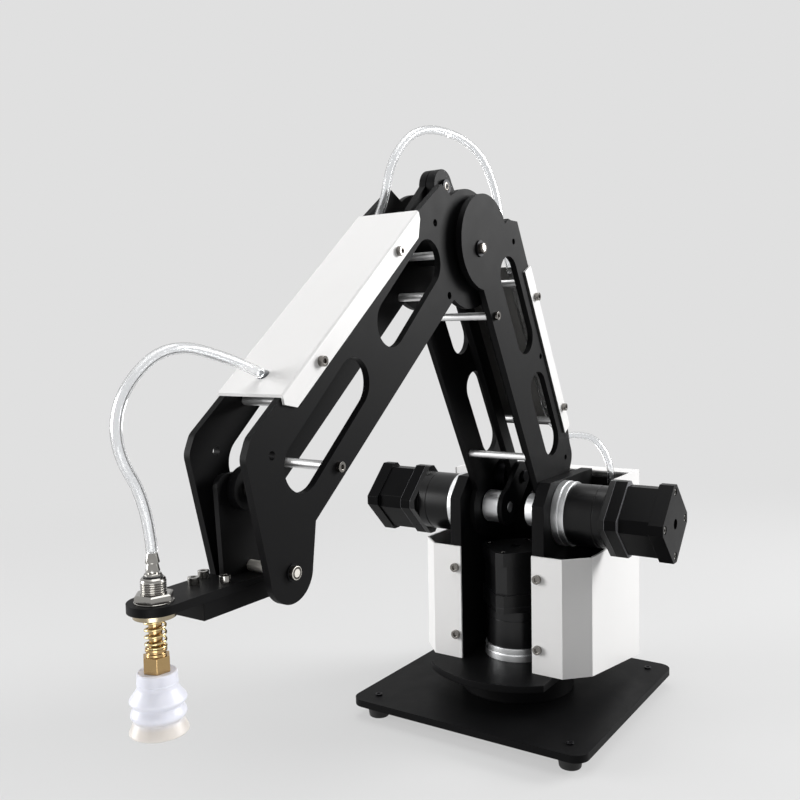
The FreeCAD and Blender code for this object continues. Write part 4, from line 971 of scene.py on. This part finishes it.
@dataclass(frozen=True)
class SuctionTool:
    """Threaded bushing with nut, flange and barbs, its return spring and the bellows cup, in millimetres."""

    axis: Point = (338.03, -4.8, 0.0)
    plate_top: float = 166.19
    bushing_radius: float = 5.7
    bushing_bore: float = 3.3
    bushing_low: float = 159.39
    bushing_length: float = 17.6
    thread_pitch: float = 1.0
    thread_depth: float = 0.55
    thread_start: float = 0.3
    # The barrel's length that is left without thread.
    thread_left: float = 1.0
    crest_from: float = 0.45
    crest_to: float = 0.6
    # How far the nut and the rings reach into the thread.
    ring_lap: float = 0.2
    flange_radius: float = 9.5
    flange_height: float = 2.8
    washer_radius: float = 8.7
    washer_height: float = 0.5
    nut_reach: float = 7.75
    nut_height: float = 3.3
    # Height and depth of the nut's lower and upper chamfer.
    nut_foot: tuple[float, float] = (0.3, 0.35)
    nut_crown: tuple[float, float] = (0.55, 0.75)
    nut_turn: float = -19.0
    spring_low: float = 145.64
    spring_high: float = 159.34
    spring_radius: float = 4.45
    spring_wire: float = 1.1
    spring_turns: float = 5.0
    plunger_travel: float = 6.0
    cup_low: float = 107.99
    cup_height: float = 27.0
    cup_radius: float = 13.0

    def bushing(self) -> bpy.types.Mesh:
        """Threaded barrel that narrows to a neck and two barbs."""
        pitch = self.thread_pitch
        outer = self.bushing_radius
        root = outer - self.thread_depth
        top = self.bushing_length
        sections: list[Section] = [(0.0, self.bushing_bore, ROUND), (0.0, root, ROUND)]
        for turn in range(int((top - self.thread_left) / pitch)):
            start = self.thread_start + turn * pitch
            sections.append((start, root, ROUND))
            sections.append((start + self.crest_from * pitch, outer, ROUND))
            sections.append((start + self.crest_to * pitch, outer, ROUND))
        sections += [(top + height, outer + inset, ROUND) for height, inset in THREAD_END]
        sections += [(top + height, radius, ROUND) for height, radius in BARBED_NECK]
        return ring_mesh("stem_bushing_barrel", sections, closed=True, steps=FINE_STEPS)

    def nut(self, name: str) -> bpy.types.Mesh:
        """Makes the hexagon nut with chamfered corners, open in the middle for the thread."""
        flat = self.nut_reach
        top = self.nut_height
        bore = self.bushing_radius - self.ring_lap
        foot_height, foot_cut = self.nut_foot
        crown_height, crown_cut = self.nut_crown
        sections = [
            (0.0, bore, ROUND),
            (0.0, flat - foot_cut, HEXAGON),
            (foot_height, flat, HEXAGON),
            (top - crown_height, flat, HEXAGON),
            (top, flat - crown_cut, HEXAGON),
            (top, bore, ROUND),
        ]
        mesh = ring_mesh(name, sections, closed=True, steps=FINE_STEPS)
        mesh.transform(Matrix.Rotation(math.radians(self.nut_turn), 4, "Z"))
        return mesh

    def spring(self) -> bpy.types.Mesh:
        """A round wire on a helix whose first and last half turns lie flat."""
        per_turn = 36
        sides = 10
        flat = 0.5
        wire = self.spring_wire / 2
        span = self.spring_high - self.spring_low - self.spring_wire
        steps = round(self.spring_turns * per_turn)
        points: list[Point] = []
        for step in range(steps + 1):
            turn = step / per_turn
            angle = math.tau * turn
            share = min(1.0, max(0.0, (turn - flat) / (self.spring_turns - 2 * flat)))
            for side in range(sides):
                around = math.tau * side / sides
                radius = (self.spring_radius + wire * math.cos(around)) * MM
                height = (wire + span * share + wire * math.sin(around)) * MM
                points.append((radius * math.cos(angle), radius * math.sin(angle), height))
        faces: list[list[int]] = [list(range(sides))]
        for step in range(steps):
            for side in range(sides):
                here = step * sides
                after = (side + 1) % sides
                faces.append([here + side, here + sides + side, here + sides + after, here + after])
        faces.append([steps * sides + side for side in reversed(range(sides))])
        mesh = bpy.data.meshes.new("return_spring")
        mesh.from_pydata(points, [], faces)
        mesh.shade_smooth()
        return mesh

    def cup(self) -> bpy.types.Mesh:
        """Bellows cup: a collar, two round convolutions and a flared lip, hollow below."""
        sections = [(self.cup_height * z, self.cup_radius * r, ROUND) for z, r in CUP]
        return ring_mesh("suction_bellows", sections, closed=True, steps=CUP_STEPS)

    def build(self, looks: ToolMaterials) -> None:
        """Sets the bushing, its nut and rings, the spring and the cup in place of their plain solids.

        Args:
            looks: the pieces' materials.
        """
        x, y, _ = self.axis
        up = (0.0, 0.0, 1.0)
        low = (x, y, self.bushing_low)
        plate = (x, y, self.plate_top)
        bore = self.bushing_radius - self.ring_lap
        barrel = add_piece(
            "stem_bushing_barrel", self.bushing(), looks.nickel, "wrist", low, up
        )
        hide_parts("stem_bushing")
        flange = Washer(self.flange_radius, bore, self.flange_height).mesh("bushing_flange")
        add_piece("bushing_flange", flange, looks.warm, "wrist", low, up)
        washer = Washer(self.washer_radius, bore, self.washer_height).mesh("bushing_washer")
        add_piece("bushing_washer", washer, looks.nickel, "wrist", plate, up)
        above = (x, y, self.plate_top + self.washer_height)
        add_piece("bushing_nut", self.nut("bushing_nut"), looks.nickel, "wrist", above, up)
        seal = ring_mesh("barb_seal", [(z, r, ROUND) for z, r in SEAL], closed=True)
        crown = (x, y, self.bushing_low + self.bushing_length)
        add_piece("barb_seal", seal, looks.rubber, "wrist", crown, up)
        coil = add_piece(
            "return_spring", self.spring(), looks.wire, "wrist", (x, y, self.spring_low), up
        )
        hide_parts("plunger_spring")
        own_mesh(coil)
        bellows = add_piece(
            "suction_bellows", self.cup(), looks.silicone, "plunger", (x, y, self.cup_low), up
        )
        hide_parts("suction_cup")


@dataclass(frozen=True)
class Lamp:
    """A soft square area lamp, placed in metres."""

    name: str
    place: Point
    aim: Point
    size_m: float
    watts: float

    def build(self) -> None:
        """Hangs the lamp, out of the camera's sight."""
        light = bpy.data.lights.new(self.name, "AREA")
        light.size = self.size_m
        light.energy = self.watts
        made = bpy.data.objects.new(self.name, light)
        made.location = self.place
        made.visible_camera = False
        way = Vector(self.aim) - Vector(self.place)
        made.rotation_euler = way.to_track_quat("-Z", "Y").to_euler()
        bpy.context.scene.collection.objects.link(made)


LAMPS = (
    Lamp("overhead_window", (0.1, 0.0, 1.7), (0.1, 0.0, 0.0), 1.4, 17.0),
    Lamp("tool_side_window", (1.0, -1.38, 0.5), (0.0, 0.0, 0.15), 0.9, 26.0),
    Lamp("motor_side_window", (-1.2, 1.2, 0.9), (0.0, 0.0, 0.15), 0.9, 43.0),
    Lamp("tool_fill", (0.46, 0.09, 0.11), (0.338, -0.005, 0.12), 0.1, 0.15),
)


@dataclass(frozen=True)
class Studio:
    """Pale floor and backdrop with soft lamps."""

    backdrop_tone: str = "#E0E0E0"
    glow_tone: str = "#F4F6F8"
    glow_strength: float = 0.12
    floor_tone: str = "#D4D4D4"
    bounce_tone: str = "#A0A0A0"
    floor_roughness: float = 0.6
    floor_specular: float = 0.02
    size_m: float = 16.0
    near_m: float = 0.35
    far_m: float = 1.1
    glow_share: float = 0.65

    def seen(self, tree: bpy.types.NodeTree) -> Link:
        """Tells what the camera, mirrors and clear pieces see from what only lights the object.

        Args:
            tree: the node tree of the surroundings or the floor.

        Returns:
            A socket that is one for a seen ray and zero for light.
        """
        rays = add_node(tree, "ShaderNodeLightPath").outputs
        return largest(tree, [rays["Is Camera Ray"], rays["Is Glossy Ray"], rays["Is Transmission Ray"]])

    def world(self) -> None:
        """Even pale surroundings, seen as the plain backdrop by the camera, mirrors and clear pieces."""
        world = bpy.data.worlds.new("studio_surroundings")
        bpy.context.scene.world = world
        world.use_nodes = True
        tree = world.node_tree
        tree.nodes.clear()
        seen = self.seen(tree)
        backdrop = add_node(tree, "ShaderNodeBackground", {"Color": linear(self.backdrop_tone)})
        glow = add_node(
            tree, "ShaderNodeBackground", {"Color": linear(self.glow_tone), "Strength": self.glow_strength}
        )
        mix = add_node(
            tree, "ShaderNodeMixShader", links={0: seen, 1: glow.outputs[0], 2: backdrop.outputs[0]}
        )
        add_node(tree, "ShaderNodeOutputWorld", links={"Surface": mix.outputs[0]})

    def floor(self) -> None:
        """Lays the pale floor, which keeps the object's shadow and runs into the backdrop further out."""
        half = self.size_m / 2
        corners = [(-half, -half, 0), (half, -half, 0), (half, half, 0), (-half, half, 0)]
        mesh = bpy.data.meshes.new("studio_floor")
        mesh.from_pydata(corners, [], [(0, 1, 2, 3)])
        floor = bpy.data.objects.new("studio_floor", mesh)
        bpy.context.scene.collection.objects.link(floor)
        mesh.materials.append(self.floor_material())

    def floor_material(self) -> bpy.types.Material:
        """Makes the floor's material: lit near the object, more and more plain backdrop away from it."""
        material = bpy.data.materials.new("pale_floor")
        material.use_nodes = True
        tree = material.node_tree
        tree.nodes.clear()
        place = add_node(tree, "ShaderNodeTexCoord").outputs["Object"]
        reach = add_node(tree, "ShaderNodeVectorMath", {"operation": "LENGTH"}, {0: place}).outputs["Value"]
        fade = add_node(
            tree,
            "ShaderNodeMapRange",
            {
                "interpolation_type": "SMOOTHSTEP",
                "From Min": self.near_m,
                "From Max": self.far_m,
                "To Min": self.glow_share,
            },
            {"Value": reach},
        )
        seen = self.seen(tree)
        share = add_node(tree, "ShaderNodeMath", {"operation": "MULTIPLY"}, {0: fade.outputs[0], 1: seen})
        tone = add_node(
            tree,
            "ShaderNodeMix",
            {"data_type": "RGBA", MIX_A: linear(self.bounce_tone), MIX_B: linear(self.floor_tone)},
            {0: seen},
        )
        lit = add_node(
            tree,
            "ShaderNodeBsdfPrincipled",
            {"Roughness": self.floor_roughness, "Specular IOR Level": self.floor_specular},
            {"Base Color": tone.outputs[MIX_RESULT]},
        )
        plain = add_node(tree, "ShaderNodeEmission", {"Color": linear(self.backdrop_tone)})
        mix = add_node(
            tree, "ShaderNodeMixShader", links={0: share.outputs[0], 1: lit.outputs[0], 2: plain.outputs[0]}
        )
        add_node(tree, "ShaderNodeOutputMaterial", links={"Surface": mix.outputs[0]})
        return material

    def build(self) -> None:
        """Sets up the whole studio."""
        self.world()
        self.floor()
        for lamp in LAMPS:
            lamp.build()


@dataclass(frozen=True)
class PhotoCamera:
    """The photograph's viewpoint: standing in front, to the lower arm motor's side."""

    place_mm: Point = (596.2, 301.2, 282.2)
    azimuth: float = 124.04
    elevation: float = 4.51
    roll: float = -1.21
    focal_pixels: float = 901.6
    image_pixels: float = 800.0
    sensor_mm: float = 36.0
    clip_near_m: float = 0.01
    clip_far_m: float = 50.0

    def build(self) -> None:
        """Creates the camera and makes it the scene's."""
        data = bpy.data.cameras.new("photo_camera")
        data.sensor_width = self.sensor_mm
        data.lens = self.focal_pixels / self.image_pixels * self.sensor_mm
        data.clip_start = self.clip_near_m
        data.clip_end = self.clip_far_m
        around, above, lean = (math.radians(a) for a in (self.azimuth, self.elevation, self.roll))
        level = math.cos(above)
        back = Vector((math.sin(around) * level, -math.cos(around) * level, math.sin(above)))
        right = Vector((math.cos(around), math.sin(around), 0.0))
        up = back.cross(right)
        leant_right = right * math.cos(lean) + up * math.sin(lean)
        leant_up = up * math.cos(lean) - right * math.sin(lean)
        turn = Matrix((leant_right, leant_up, back)).transposed().to_4x4()
        camera = bpy.data.objects.new("photo_camera", data)
        camera.matrix_world = Matrix.Translation([value * MM for value in self.place_mm]) @ turn
        bpy.context.scene.collection.objects.link(camera)
        bpy.context.scene.camera = camera


def main() -> None:
    """Builds the stage, the finishes and the pieces in order."""
    logging.basicConfig(level=logging.INFO, format="%(message)s")
    bpy.context.scene.view_settings.view_transform = "Standard"
    PhotoCamera().build()
    Studio().build()
    clear = HOSE.build()
    for hose in HOSES:
        hose.build(clear)
    for dressing in DRESSINGS:
        dressing.apply()
    nickel = NICKEL.build()
    MotorEnds().build(nickel)
    PivotBolts().build(OILED_STEEL.build(), BLACK_OXIDE.build())
    looks = ToolMaterials(
        nickel, WARM_NICKEL.build(), SILICONE.build(), FOOT_RUBBER.build(), SPRING_WIRE.build()
    )
    SuctionTool().build(looks)


if __name__ == "__main__":
    main()
